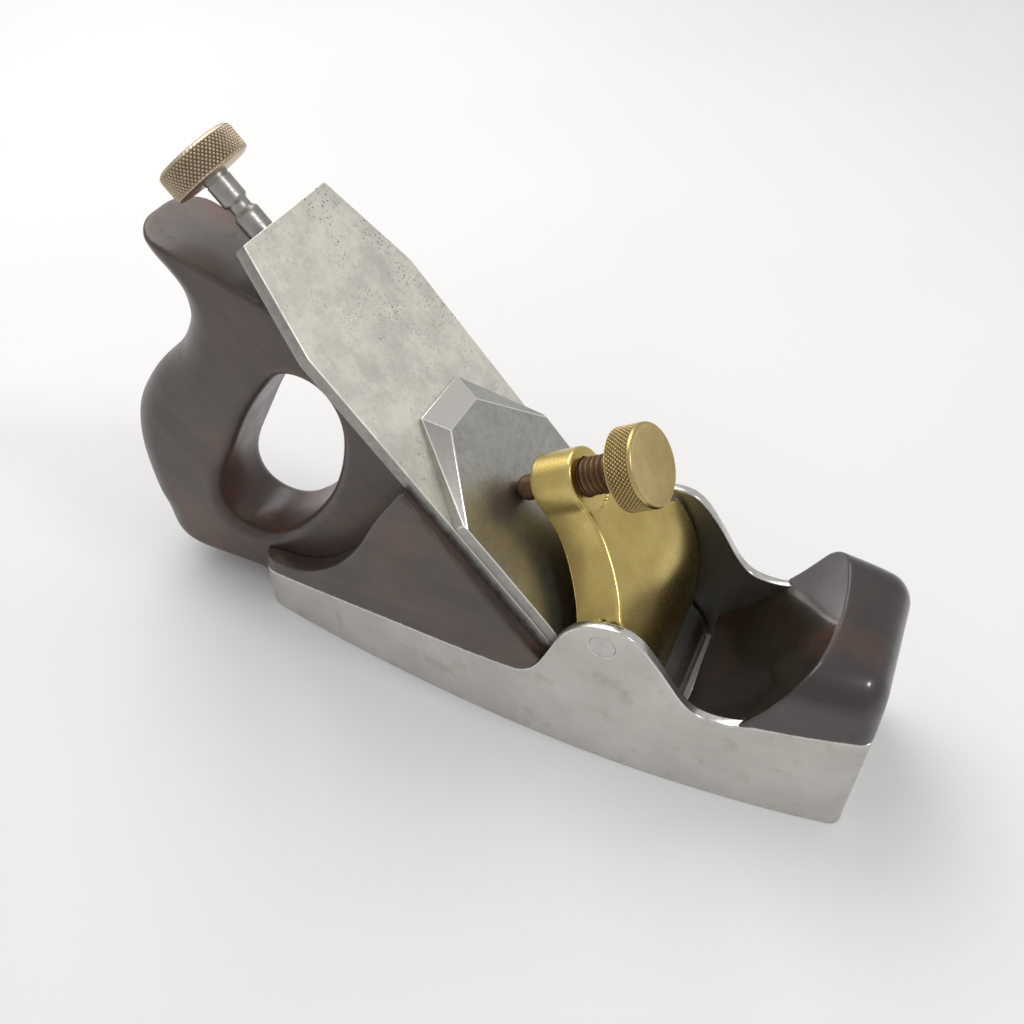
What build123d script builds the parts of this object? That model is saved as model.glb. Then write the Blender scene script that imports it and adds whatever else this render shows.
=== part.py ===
"""Infill smoothing plane: coffin shaped steel body, rosewood bun and closed tote,
iron with cap iron, gunmetal lever cap and screw adjuster.  Millimetres.

Frame: origin at the centre of the sole on its flat face, +X to the toe,
+Y to the plane's left side, +Z up.
"""

import os
from math import atan2, cos, degrees, hypot, pi, radians, sin, sqrt, tan

from build123d import *

# ---------------------------------------------------------------- dimensions
half_length = 104.0  # half the length of the sole
side_t = 3.0  # thickness of a side plate
sole_t = 6.0  # thickness of the sole
# half width of the body at stations along the sole
plan = [
    (-104.0, 19.9), (-86.7, 22.8), (-69.4, 25.4), (-52.0, 27.7), (-34.7, 29.6),
    (-17.3, 31.1), (0.0, 32.2), (17.3, 32.7), (34.7, 32.7), (52.0, 32.0),
    (69.4, 30.7), (86.7, 28.8), (104.0, 26.1),
]
heel_r = 8.0  # plan rounding at the heel corners
toe_r = 3.6  # plan rounding at the toe corners
heel_open = 14.0  # half width left open between the plates at the heel
toe_open = 20.0  # the same at the toe
# top edge of the side plates
side_top = [
    (-104.0, 17.1), (-94.1, 18.7), (-84.2, 20.2), (-74.3, 21.8), (-64.3, 23.2),
    (-54.4, 24.5), (-44.5, 25.6), (-34.6, 26.4), (-24.7, 27.1), (-14.8, 27.8),
    (-4.9, 28.6), (0.5, 29.6), (3.4, 31.6), (5.8, 35.0), (8.4, 40.6), (10.9, 47.0),
    (13.4, 52.8), (17.4, 58.2), (22.2, 61.4), (28.0, 62.8), (32.5, 62.6),
    (36.8, 60.4), (40.2, 56.8), (43.9, 51.9), (47.5, 46.6), (51.0, 41.6),
    (54.2, 38.4), (57.3, 36.8), (62.0, 36.3), (66.4, 36.9), (70.5, 38.3),
    (78.0, 39.7), (90.0, 41.2), (104.0, 42.9),
]

bed_angle = 47.67  # pitch of the bed
edge_x = 46.8  # where the top face of the iron meets the sole
iron_w = 57.15
iron_t = 4.5
iron_u0, iron_u1, iron_u2 = 0.4, 165.5, 198.4  # edge, start of the taper, top
iron_top_half = 20.0
cap_t = 4.4
cap_u0, cap_u1, cap_u2 = 2.6, 102.5, 131.4
cap_half, cap_tip_half, cap_inner_half = 28.3, 11.3, 8.2
mouth_x = 48.9  # front edge of the mouth

tote_t = 28.0
spindle_n = -8.6  # depth of the adjuster spindle below the iron's top face
spindle_r = 3.3
swivel_u = 118.0  # where the adjuster turns on the bed
capscrew_u = 80.0
pin_u, pin_n, pin_r = 54.0, 21.5, 4.0
screw_u, screw_tilt = 94.5, 10.5  # lever cap screw: foot on the cap iron, tilt
run = 0.05  # radial clearance of running fits

th = radians(bed_angle)
# bed frame: local x up the bed, local y across (towards -Y), local z out of the iron
bed = Plane(origin=(edge_x, 0, 0), x_dir=(-cos(th), 0, sin(th)), z_dir=(sin(th), 0, cos(th)))
# side view frame seen from the right side, with local x along +X, local y up
side_view = Plane(origin=(0, 0, 0), x_dir=(1, 0, 0), z_dir=(0, -1, 0))
# section of the bed frame: local x up the bed, local y out of the iron
bed_side = Plane(origin=(edge_x, 0, 0), x_dir=(-cos(th), 0, sin(th)), z_dir=(0, 1, 0))


def bed_point(u, n, y=0.0):
    return (edge_x - u * cos(th) + n * sin(th), y, u * sin(th) + n * cos(th))


st = radians(screw_tilt)
screw_dir = (
    -sin(st) * -cos(th) + cos(st) * sin(th), 0,
    -sin(st) * sin(th) + cos(st) * cos(th),
)
screw_foot = bed_point(screw_u, cap_t)
screw_axis = Plane(origin=screw_foot, x_dir=(0, -1, 0), z_dir=screw_dir)


def half_width(x):
    """Half width of the body between the stations."""
    for (xa, wa), (xb, wb) in zip(plan, plan[1:]):
        if x <= xb:
            return wa + (wb - wa) * (x - xa) / (xb - xa)
    return plan[-1][1]


def outline(inset):
    """Closed plan outline of the body, inset by a distance."""
    k = (half_length - inset) / half_length
    stations = [(x * k, half_width(x * k) - inset) for x, w in plan]
    with BuildSketch() as s:
        with BuildLine():
            a = Spline(*stations)
            b = Spline(*[(x, -w) for x, w in stations])
            Line(a @ 1, b @ 1)
            Line(a @ 0, b @ 0)
        make_face()
        fillet(s.vertices().filter_by(lambda v: v.X < 0), heel_r - inset)
        fillet(s.vertices().filter_by(lambda v: v.X > 100 - inset), max(toe_r - inset, 0.6))
    return s.sketch


full_plan = outline(0)
inner_plan = outline(side_t)

# ---------------------------------------------------------------- side plates
with BuildPart() as plates:
    with BuildSketch():
        add(full_plan)
        add(inner_plan, mode=Mode.SUBTRACT)
        with Locations((-half_length, 0)):
            Rectangle(30, 2 * heel_open, mode=Mode.SUBTRACT)
        with Locations((half_length, 0)):
            Rectangle(30, 2 * toe_open, mode=Mode.SUBTRACT)
    extrude(amount=70)
    with BuildSketch(side_view):
        with BuildLine():
            top = Spline(*side_top)
            Polyline(top @ 1, (110, 43.5), (110, -1), (-110, -1), (-110, 16.5), top @ 0)
        make_face()
    extrude(amount=60, both=True, mode=Mode.INTERSECT)
    # reamed hole for the cross pin
    with BuildSketch(Plane(origin=bed_point(pin_u, pin_n), x_dir=(1, 0, 0), z_dir=(0, -1, 0))):
        Circle(pin_r)
    extrude(amount=60, both=True, mode=Mode.SUBTRACT)

with BuildPart() as side_plate_right:
    add(plates.part.solids().sort_by(Axis.Y)[0])
with BuildPart() as side_plate_left:
    add(side_plate_right.part)
    mirror(about=Plane.XZ, mode=Mode.REPLACE)

# ---------------------------------------------------------------- sole
with BuildPart() as sole:
    with BuildSketch():
        add(full_plan)
    extrude(amount=sole_t)
    add(side_plate_right.part, mode=Mode.SUBTRACT)
    add(side_plate_left.part, mode=Mode.SUBTRACT)
    # mouth: sloped bed behind the iron, square edge in front
    with BuildSketch(side_view):
        with BuildLine():
            Polyline(
                (edge_x - 2.0 * 2.2 + 2.26, -1.0), (mouth_x, -1.0), (mouth_x, 7.0),
                (bed_point(iron_u0, -iron_t)[0] - 6.4, 7.0),
                (edge_x - 2.0 * 2.2 + 2.26, -1.0), close=True,
            )
        make_face()
    extrude(amount=60, both=True, mode=Mode.SUBTRACT)

sole_solids = sole.part.solids().sort_by(Axis.X)

# screws filed flush under the sole
bun_screw_at = [(76.0, -11.0), (76.0, 11.0)]
tote_screw_at = [(-84.0, 0.0), (-26.0, 0.0), (-46.0, -20.0), (-46.0, 20.0)]


def wood_screw(x, y, length):
    """Countersunk wood screw standing up from the sole, head filed flush."""
    with BuildPart() as s:
        with BuildSketch(Plane.XZ.offset(-y)):
            with BuildLine():
                Polyline(
                    (x, 0), (x + 4.2, 0), (x + 4.2, 0.6), (x + 2.2, 3.2), (x + 2.2, length * 0.5),
                    (x + 1.7, length - 4), (x, length), (x, 0),
                )
            make_face()
        revolve(axis=Axis((x, y, 0), (0, 0, 1)))
    return s.part


with BuildPart() as bun_screws:
    for x, y in bun_screw_at:
        add(wood_screw(x, y, 24.0))
with BuildPart() as tote_screws:
    for x, y in tote_screw_at:
        add(wood_screw(x, y, 18.0))

with BuildPart() as sole_rear:
    add(sole_solids[0])
    # the bed runs on through the sole at the iron's pitch
    with BuildSketch(bed_side):
        with Locations((20, 50 - iron_t)):
            Rectangle(120, 100)
    extrude(amount=60, both=True, mode=Mode.SUBTRACT)
    add(tote_screws.part, mode=Mode.SUBTRACT)
with BuildPart() as sole_front:
    add(sole_solids[-1])
    add(bun_screws.part, mode=Mode.SUBTRACT)

# ---------------------------------------------------------------- front bun
scoop = [(49.5, 6.0), (71.1, 37.5), (83.5, 64.0)]
(x1, z1), (x2, z2), (x3, z3) = scoop
dd = 2 * (x1 * (z2 - z3) + x2 * (z3 - z1) + x3 * (z1 - z2))
scx = ((x1**2 + z1**2) * (z2 - z3) + (x2**2 + z2**2) * (z3 - z1) + (x3**2 + z3**2) * (z1 - z2)) / dd
scz = ((x1**2 + z1**2) * (x3 - x2) + (x2**2 + z2**2) * (x1 - x3) + (x3**2 + z3**2) * (x2 - x1)) / dd
scr = hypot(x1 - scx, z1 - scz)

with BuildPart() as front_bun:
    with BuildSketch(Plane.XY.offset(sole_t)):
        add(full_plan)
    extrude(amount=70)
    # long section: vertical at the mouth, arched top, rounded nose
    with BuildSketch(side_view):
        with BuildLine():
            Polyline((104.2, 52.5), (104.2, 5), (mouth_x, 5), (mouth_x, 63.6), (80.0, 63.6))
            Spline(
                (80.0, 63.6), (88.0, 63.5), (94.0, 63.0), (98.6, 61.8), (101.6, 59.7),
                (103.6, 56.4), (104.2, 52.5), tangents=((1, 0), (0, -1)),
            )
        make_face()
    extrude(amount=60, both=True, mode=Mode.INTERSECT)
    # cross section: flush with the plates, shoulders rounded over
    with BuildSketch(Plane.YZ):
        with BuildLine():
            Polyline((-34, 40), (-34, 0), (34, 0), (34, 40))
            Spline(
                (34, 40), (32.4, 46), (30.2, 52.0), (27.2, 57.6), (22.5, 62.0), (17.0, 63.7),
            )
            Line((17.0, 63.7), (-17.0, 63.7))
            Spline(
                (-17.0, 63.7), (-22.5, 62.0), (-27.2, 57.6), (-30.2, 52.0), (-32.4, 46), (-34, 40),
            )
        make_face()
    extrude(amount=120, mode=Mode.INTERSECT)
    # hollow of the throat: a barrel shaped scoop
    with BuildSketch(Plane(origin=(scx, 0, scz), x_dir=(0, 1, 0), z_dir=(1, 0, 0))):
        with BuildLine():
            Polyline((-36, scr - 4.5), (-36, 0), (36, 0), (36, scr - 4.5))
            Spline((36, scr - 4.5), (18, scr + 0.75), (0, scr + 2.5), (-18, scr + 0.75), (-36, scr - 4.5))
        make_face()
    revolve(axis=Axis((scx, 0, scz), (0, 1, 0)), mode=Mode.SUBTRACT)
    add(side_plate_right.part, mode=Mode.SUBTRACT)
    add(side_plate_left.part, mode=Mode.SUBTRACT)
    add(bun_screws.part, mode=Mode.SUBTRACT)

# ---------------------------------------------------------------- tote
half_tote = tote_t / 2
tote_line = [
    (-128.0, 140.3), (-129.7, 138.2), (-129.1, 134.2), (-127.2, 130.7), (-122.9, 125.7),
    (-120.4, 122.2), (-119.4, 117.5), (-119.6, 113.2), (-120.9, 109.2), (-123.6, 103.8),
    (-128.2, 97.2), (-135.2, 90.2), (-140.6, 84.6), (-146.3, 77.2), (-150.6, 70.0),
    (-153.4, 62.0), (-155.1, 52.0), (-155.3, 43.0), (-154.7, 34.5), (-153.0, 25.4),
    (-149.4, 18.2), (-144.6, 12.2), (-138.6, 8.9), (-130.0, 7.9),
]
hole_line = [
    (-80.5, 102.6), (-73.0, 101.0), (-68.2, 94.0), (-67.4, 83.0), (-70.2, 69.0),
    (-75.4, 56.5), (-84.2, 43.2), (-94.0, 32.8), (-103.0, 27.2), (-111.5, 26.0),
    (-118.0, 29.0), (-121.0, 36.0), (-119.4, 47.0), (-112.6, 61.5), (-103.8, 78.5),
    (-93.0, 94.5), (-87.0, 100.6),
]

# screws holding the bed plate: heads in the plate, shanks in the wood
with BuildPart() as bed_plate_screws:
    with BuildSketch(bed.offset(-iron_t - 13.2)):
        with Locations((swivel_u - 13, 0), (swivel_u + 13, 0)):
            Circle(1.8)
    extrude(amount=1.9)
    with BuildSketch(bed.offset(-iron_t - 13.2)):
        with Locations((swivel_u - 13, 0), (swivel_u + 13, 0)):
            Circle(1.3)
    extrude(amount=-3.4)
    with BuildSketch(bed.offset(-iron_t - 11.3)):
        with Locations((swivel_u - 13, 0), (swivel_u + 13, 0)):
            Rectangle(0.7, 5)
    extrude(amount=-0.8, mode=Mode.SUBTRACT)

with BuildPart() as tote:
    with BuildSketch(side_view):
        with BuildLine():
            back = Spline(*tote_line)
            Polyline(
                back @ 1, (-104.0, 7.9), (-104.0, sole_t), (bed_point(0, -iron_t)[0] - sole_t / tan(th), sole_t),
                (-70.2, 121.6),
            )
            Spline((-70.2, 121.6), (-86.7, 126.3), (-97.4, 129.9), (-106.0, 132.8), (-120.0, 137.6), back @ 0)
        make_face()
    extrude(amount=half_tote, both=True)
    # the bed
    with BuildSketch(bed_side):
        with Locations((90, 50 - iron_t)):
            Rectangle(300, 100)
    extrude(amount=60, both=True, mode=Mode.SUBTRACT)
    with BuildSketch(side_view):
        with BuildLine():
            Spline(*hole_line, periodic=True)
        make_face()
    extrude(amount=60, both=True, mode=Mode.SUBTRACT)
    hole_edges = tote.edges().filter_by(
        lambda e: abs(abs(e.center().Y) - half_tote) < 0.01
        and -122 < e.center().X < -66 and 25 < e.center().Z < 104 and e.length > 120
    )
    fillet(hole_edges, 4.0)
    # groove for the adjuster
    with BuildSketch(bed.offset(-iron_t)):
        with Locations(((88 + 240) / 2, 0)):
            Rectangle(240 - 88, 14)
        with Locations((capscrew_u, 0), (capscrew_u + 3.2, 0)):
            Circle(12.4)
        with Locations((capscrew_u + 1.6, 0)):
            Rectangle(3.2, 24.8)
    extrude(amount=-11.0, mode=Mode.SUBTRACT)
    with BuildSketch(bed.offset(-iron_t - 11.0)):
        with Locations((swivel_u, 0)):
            RectangleRounded(36, 13.6, 2)
    extrude(amount=-2.2, mode=Mode.SUBTRACT)
    add(tote_screws.part, mode=Mode.SUBTRACT)
    add(bed_plate_screws.part, mode=Mode.SUBTRACT)

# ---------------------------------------------------------------- rear cheeks
cheek_top = [
    (-104.0, 24.6), (-97.0, 25.6), (-90.5, 26.0), (-84.0, 27.6), (-77.0, 31.4), (-71.0, 36.0),
    (-61.6, 46.8), (-55.6, 56.4), (-50.4, 66.6), (-45.2, 75.6), (-38.0, 87.0),
]
with BuildPart() as cheeks:
    with BuildSketch(Plane.XY.offset(sole_t)):
        add(full_plan)
        Rectangle(400, tote_t, mode=Mode.SUBTRACT)
    extrude(amount=90)
    with BuildSketch(side_view):
        with BuildLine():
            ct = Spline(*cheek_top)
            Polyline(ct @ 1, (60, 87), (60, 5), (-105, 5), (-105, 24.6), ct @ 0)
        make_face()
    extrude(amount=60, both=True, mode=Mode.INTERSECT)
    with BuildSketch(bed_side):
        with Locations((90, 50 - iron_t)):
            Rectangle(300, 100)
    extrude(amount=60, both=True, mode=Mode.SUBTRACT)
    add(side_plate_right.part, mode=Mode.SUBTRACT)
    add(side_plate_left.part, mode=Mode.SUBTRACT)
    add(tote_screws.part, mode=Mode.SUBTRACT)
cheek_solids = cheeks.part.solids().sort_by(Axis.Y)
with BuildPart() as rear_cheek_right:
    add(cheek_solids[0])
with BuildPart() as rear_cheek_left:
    add(cheek_solids[-1])

# ---------------------------------------------------------------- cutting iron
iron_half = iron_w / 2
skew = radians(1.15)  # the iron lies slightly askew in the plane, turned about a point near its edge


def askew(u, v):
    return (20 + (u - 20) * cos(skew) - v * sin(skew), skew_side * ((u - 20) * sin(skew) + v * cos(skew)))


skew_side = 1 if bed.y_dir.Y > 0 else -1
with BuildPart() as cutting_iron:
    with BuildSketch(bed.offset(-iron_t)):
        with BuildLine():
            Polyline(
                askew(iron_u0 - 1, -iron_half), askew(iron_u1, -iron_half), askew(iron_u2, -iron_top_half),
                askew(iron_u2, iron_top_half), askew(iron_u1, iron_half), askew(iron_u0 - 1, iron_half),
                askew(iron_u0 - 1, -iron_half),
            )
        make_face()
    extrude(amount=iron_t)
    # slot for the cap iron screw, with its round entry
    with BuildSketch(bed.offset(-iron_t)):
        with Locations(((66 + 112) / 2, 0)):
            SlotOverall(112 - 66 + 11.4, 11.4)
        with Locations((108, 0)):
            Circle(8.9)
    extrude(amount=iron_t, mode=Mode.SUBTRACT)
    # cutting bevel on the underside
    with BuildSketch(bed_side):
        with BuildLine():
            Polyline((iron_u0 - 4, 1), (iron_u0, 1), (iron_u0, 0), (iron_u0 + 9.4, -iron_t), (iron_u0 + 9.4, -iron_t - 1), (iron_u0 - 4, -iron_t - 1), (iron_u0 - 4, 1))
        make_face()
    extrude(amount=60, both=True, mode=Mode.SUBTRACT)

# ---------------------------------------------------------------- cap iron
rim = 1.1  # thickness left at the edge of the bevel
bevel_w = 8.1
with BuildPart() as cap_iron:
    with BuildSketch(bed):
        with BuildLine():
            Polyline(
                askew(cap_u0 - 1, -cap_half), askew(cap_u1, -cap_half), askew(cap_u2, -cap_tip_half),
                askew(cap_u2, cap_tip_half), askew(cap_u1, cap_half), askew(cap_u0 - 1, cap_half),
                askew(cap_u0 - 1, -cap_half),
            )
        make_face()
    extrude(amount=cap_t)
    # rounded nose above the cutting edge
    with BuildSketch(bed_side):
        with BuildLine():
            Polyline((cap_u0 - 4, -1), (cap_u0, -1), (cap_u0, 0.4), (cap_u0 + 1.4, 2.2), (cap_u0 + 4.0, 3.7), (cap_u0 + 8.5, cap_t), (cap_u0 + 8.5, cap_t + 1), (cap_u0 - 4, cap_t + 1), (cap_u0 - 4, -1))
        make_face()
    extrude(amount=60, both=True, mode=Mode.SUBTRACT)
    # wide bevels round the top end
    with BuildSketch(bed_side):
        with BuildLine():
            Polyline((cap_u2, rim), (cap_u2 - bevel_w, cap_t), (cap_u2 - bevel_w, cap_t + 2), (cap_u2 + 3, cap_t + 2), (cap_u2 + 3, rim), (cap_u2, rim))
        make_face()
    extrude(amount=60, both=True, mode=Mode.SUBTRACT)
    # the two clipped corners: each bevel dies away towards the shoulder
    for sgn in (-1, 1):
        corner = [(cap_u2, sgn * cap_tip_half, rim), (cap_u2 - bevel_w, sgn * cap_inner_half, cap_t), (cap_u1, sgn * cap_half, cap_t - 0.5)]
        p0, p1, p2 = [Vector(*bed_point(askew(u, v)[0], n, askew(u, v)[1] * skew_side)) for u, v, n in corner]
        face_n = (p1 - p0).cross(p2 - p0).normalized()
        if face_n.dot(Vector(sin(th), 0, cos(th))) < 0:
            face_n = face_n * -1
        split(bisect_by=Plane(origin=p0, z_dir=face_n), keep=Keep.BOTTOM)
    with BuildSketch(bed):
        with Locations((capscrew_u, 0)):
            Circle(4.0)
    extrude(amount=cap_t, mode=Mode.SUBTRACT)

# ---------------------------------------------------------------- cap iron screw
with BuildPart() as cap_iron_screw:
    with BuildSketch(bed.offset(-iron_t)):
        with Locations((capscrew_u, 0)):
            Circle(4.0)
    extrude(amount=iron_t + cap_t - 0.3)
    with BuildSketch(bed.offset(-iron_t)):
        with Locations((capscrew_u, 0)):
            Circle(8.0)
    extrude(amount=-3.6)
    with BuildSketch(bed.offset(-iron_t - 3.6)):
        with Locations((capscrew_u, 0)):
            Rectangle(1.4, 20)
    extrude(amount=1.2, mode=Mode.SUBTRACT)

# ---------------------------------------------------------------- adjuster
with BuildPart() as adjuster_carriage:
    with BuildSketch(bed.offset(-iron_t - 0.2)):
        with Locations((capscrew_u, 0)):
            Circle(11.2)
        with Locations((95.0, 0)):
            Rectangle(14, 11)
    extrude(amount=-3.3)
    with BuildSketch(bed.offset(-iron_t - 0.3)):
        with Locations((97.0, 0)):
            Rectangle(10, 11)
    extrude(amount=-8.6)
    with BuildSketch(bed.offset(-iron_t)):
        with Locations((capscrew_u, 0)):
            Circle(8.0)
    extrude(amount=-9, mode=Mode.SUBTRACT)
    with BuildSketch(Plane(origin=bed_point(91.5, spindle_n), x_dir=(0, -1, 0), z_dir=(-cos(th), 0, sin(th)))):
        Circle(2.4 + run)
    extrude(amount=30, mode=Mode.SUBTRACT)

along = dict(x_dir=(0, -1, 0), z_dir=(-cos(th), 0, sin(th)))
with BuildPart() as adjuster_swivel:
    with BuildSketch(bed.offset(-iron_t - 0.4)):
        with Locations((swivel_u, 0)):
            RectangleRounded(18, 12.4, 1.5)
    extrude(amount=-10.5)
    with BuildSketch(bed.offset(-iron_t - 10.9)):
        with Locations((swivel_u, 0)):
            Circle(3.0)
    extrude(amount=-2.1)
    with BuildSketch(Plane(origin=bed_point(swivel_u - 20, spindle_n), **along)):
        Circle(spindle_r + run)
    extrude(amount=40, mode=Mode.SUBTRACT)

with BuildPart() as adjuster_bed_plate:
    with BuildSketch(bed.offset(-iron_t - 13.2)):
        with Locations((swivel_u, 0)):
            RectangleRounded(36, 13.6, 2)
    extrude(amount=2.2)
    with BuildSketch(bed.offset(-iron_t - 13.2)):
        with Locations((swivel_u, 0)):
            Circle(3.0 + run)
        with Locations((swivel_u - 13, 0), (swivel_u + 13, 0)):
            Circle(1.8)
    extrude(amount=2.2, mode=Mode.SUBTRACT)

with BuildPart() as adjuster_spindle:
    with BuildSketch(bed_side):
        with BuildLine():
            Polyline(
                (92.2, spindle_n), (92.2, spindle_n + 2.4), (106.0, spindle_n + 2.4), (107.0, spindle_n + spindle_r),
                (187.0, spindle_n + spindle_r), (188.5, spindle_n + 4.0), (205.0, spindle_n + 4.0), (206.0, spindle_n + 3.0), (208.0, spindle_n + 3.0),
                (209.0, spindle_n + 3.9), (217.2, spindle_n + 3.9), (217.2, spindle_n + 3.0), (222.0, spindle_n + 3.0), (222.0, spindle_n), (92.2, spindle_n),
            )
        make_face()
    revolve(axis=Axis(bed_point(97, spindle_n), (-cos(th), 0, sin(th))))
knob_u, knob_r, knob_t = 217.2, 12.4, 9.0
with BuildPart() as adjuster_knob:
    with BuildSketch(bed_side):
        with BuildLine():
            Polyline(
                (knob_u, spindle_n), (knob_u, spindle_n + knob_r - 0.8), (knob_u + 0.8, spindle_n + knob_r), (knob_u + knob_t - 0.8, spindle_n + knob_r),
                (knob_u + knob_t, spindle_n + knob_r - 0.8), (knob_u + knob_t, spindle_n), (knob_u, spindle_n),
            )
        make_face()
    revolve(axis=Axis(bed_point(97, spindle_n), (-cos(th), 0, sin(th))))
    with BuildSketch(Plane(origin=bed_point(knob_u - 1, spindle_n), **along)):
        Circle(3.0 + run)
    extrude(amount=5.85, mode=Mode.SUBTRACT)

# ---------------------------------------------------------------- lever cap
lc_half = 28.5
front = [(17.4, 6.2), (22.0, 10.2), (30.0, 17.2), (40.0, 23.6), (50.0, 27.2), (60.0, 28.2), (74.0, 27.8), (88.0, 27.6), (101.0, 27.6)]
under = [(20.0, cap_t + 0.05), (25.5, cap_t + 0.05), (30.0, 6.4), (37.0, 8.8), (46.0, 10.2), (58.0, 11.0), (66.0, 11.5), (74.0, 12.0), (86.0, 12.8), (101.0, 13.2)]
with BuildPart() as lever_cap:
    with BuildSketch(bed_side):
        with BuildLine():
            f1 = Spline(*front)
            l1 = Line(f1 @ 1, (101.0, 13.2))
            f2 = Spline(*under[1:], tangents=((1, 0.6), (1, 0)))
            Polyline(f2 @ 0, (19.4, cap_t + 0.05), (17.4, 5.0), f1 @ 0)
        make_face()
    extrude(amount=40, both=True)
    # plan of the cap: full width toe, hollow shoulders, narrow neck
    with BuildSketch(bed):
        with BuildLine():
            sh = Spline(
                (54.5, lc_half), (56.6, 27.8), (59.5, 24.4), (64.1, 19.0), (69.8, 14.2), (75.0, 10.9), (80.0, 9.0), (86.0, 8.2), (92.0, 8.0),
            )
            sh2 = Spline(
                (54.5, -lc_half), (56.6, -27.8), (59.5, -24.4), (64.1, -19.0), (69.8, -14.2), (75.0, -10.9), (80.0, -9.0), (86.0, -8.2), (92.0, -8.0),
            )
            Line(sh @ 1, (92.0, -8.0))
            Polyline(sh @ 0, (10.0, lc_half), (10.0, -lc_half), sh2 @ 0)
        make_face()
    extrude(amount=60, mode=Mode.INTERSECT)
    # boss for the screw
    with BuildSketch(screw_axis.offset(10.5)):
        Circle(9.2)
    extrude(amount=14.5)
    with BuildSketch(screw_axis.offset(2.0)):
        Circle(5.8 + run)
    extrude(amount=60, mode=Mode.SUBTRACT)
    # bore for the cross pin
    with BuildSketch(Plane(origin=bed_point(pin_u, pin_n), x_dir=(1, 0, 0), z_dir=(0, -1, 0))):
        Circle(pin_r + run)
    extrude(amount=60, both=True, mode=Mode.SUBTRACT)

with BuildPart() as lever_cap_pin:
    with BuildSketch(Plane(origin=bed_point(pin_u, pin_n), x_dir=(1, 0, 0), z_dir=(0, -1, 0))):
        Circle(pin_r)
    extrude(amount=32.55, both=True)

lk_r, lk_t = 12.4, 9.4
with BuildPart() as lever_cap_screw:
    with BuildSketch(Plane(origin=screw_foot, x_dir=screw_dir, z_dir=(0, 1, 0))):
        with BuildLine():
            Polyline((0.3, 0), (0.4, 1.6), (0.9, 2.8), (1.8, 3.6), (3.0, 4.0), (8.4, 4.0), (9.4, 5.8), (37.7, 5.8), (37.7, 4.2), (43.1, 4.2), (43.1, 0), (0.3, 0))
        make_face()
    revolve(axis=Axis(screw_foot, screw_dir))
with BuildPart() as lever_cap_knob:
    with BuildSketch(Plane(origin=screw_foot, x_dir=screw_dir, z_dir=(0, 1, 0))):
        with BuildLine():
            Polyline(
                (37.7, 0), (37.7, lk_r - 0.9), (38.5, lk_r), (37.7 + lk_t - 1.0, lk_r), (37.7 + lk_t, lk_r - 1.2),
                (37.7 + lk_t, lk_r - 2.2), (37.7 + lk_t - 0.5, lk_r - 3.4), (37.7 + lk_t - 0.9, 0), (37.7, 0),
            )
        make_face()
    revolve(axis=Axis(screw_foot, screw_dir))
    with BuildSketch(screw_axis.offset(37.0)):
        Circle(4.2 + run)
    extrude(amount=6.15, mode=Mode.SUBTRACT)

# ---------------------------------------------------------------- output
os.makedirs("parts", exist_ok=True)

side_plate_right.part.label = "side_plate_right"
export_step(side_plate_right.part, "parts/side_plate_right.step")
side_plate_left.part.label = "side_plate_left"
export_step(side_plate_left.part, "parts/side_plate_left.step")
sole_front.part.label = "sole_front"
export_step(sole_front.part, "parts/sole_front.step")
sole_rear.part.label = "sole_rear"
export_step(sole_rear.part, "parts/sole_rear.step")
bun_screws.part.label = "bun_screws"
export_step(bun_screws.part, "parts/bun_screws.step")
tote_screws.part.label = "tote_screws"
export_step(tote_screws.part, "parts/tote_screws.step")
front_bun.part.label = "front_bun"
export_step(front_bun.part, "parts/front_bun.step")
tote.part.label = "tote"
export_step(tote.part, "parts/tote.step")
rear_cheek_right.part.label = "rear_cheek_right"
export_step(rear_cheek_right.part, "parts/rear_cheek_right.step")
rear_cheek_left.part.label = "rear_cheek_left"
export_step(rear_cheek_left.part, "parts/rear_cheek_left.step")
cutting_iron.part.label = "cutting_iron"
export_step(cutting_iron.part, "parts/cutting_iron.step")
cap_iron.part.label = "cap_iron"
export_step(cap_iron.part, "parts/cap_iron.step")
cap_iron_screw.part.label = "cap_iron_screw"
export_step(cap_iron_screw.part, "parts/cap_iron_screw.step")
adjuster_carriage.part.label = "adjuster_carriage"
export_step(adjuster_carriage.part, "parts/adjuster_carriage.step")
adjuster_swivel.part.label = "adjuster_swivel"
export_step(adjuster_swivel.part, "parts/adjuster_swivel.step")
adjuster_bed_plate.part.label = "adjuster_bed_plate"
export_step(adjuster_bed_plate.part, "parts/adjuster_bed_plate.step")
bed_plate_screws.part.label = "bed_plate_screws"
export_step(bed_plate_screws.part, "parts/bed_plate_screws.step")
adjuster_spindle.part.label = "adjuster_spindle"
export_step(adjuster_spindle.part, "parts/adjuster_spindle.step")
adjuster_knob.part.label = "adjuster_knob"
export_step(adjuster_knob.part, "parts/adjuster_knob.step")
lever_cap.part.label = "lever_cap"
export_step(lever_cap.part, "parts/lever_cap.step")
lever_cap_pin.part.label = "lever_cap_pin"
export_step(lever_cap_pin.part, "parts/lever_cap_pin.step")
lever_cap_screw.part.label = "lever_cap_screw"
export_step(lever_cap_screw.part, "parts/lever_cap_screw.step")
lever_cap_knob.part.label = "lever_cap_knob"
export_step(lever_cap_knob.part, "parts/lever_cap_knob.step")
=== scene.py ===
import math

import bmesh
import bpy
import numpy as np
from mathutils import Matrix, Vector
from mathutils.geometry import delaunay_2d_cdt


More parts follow.
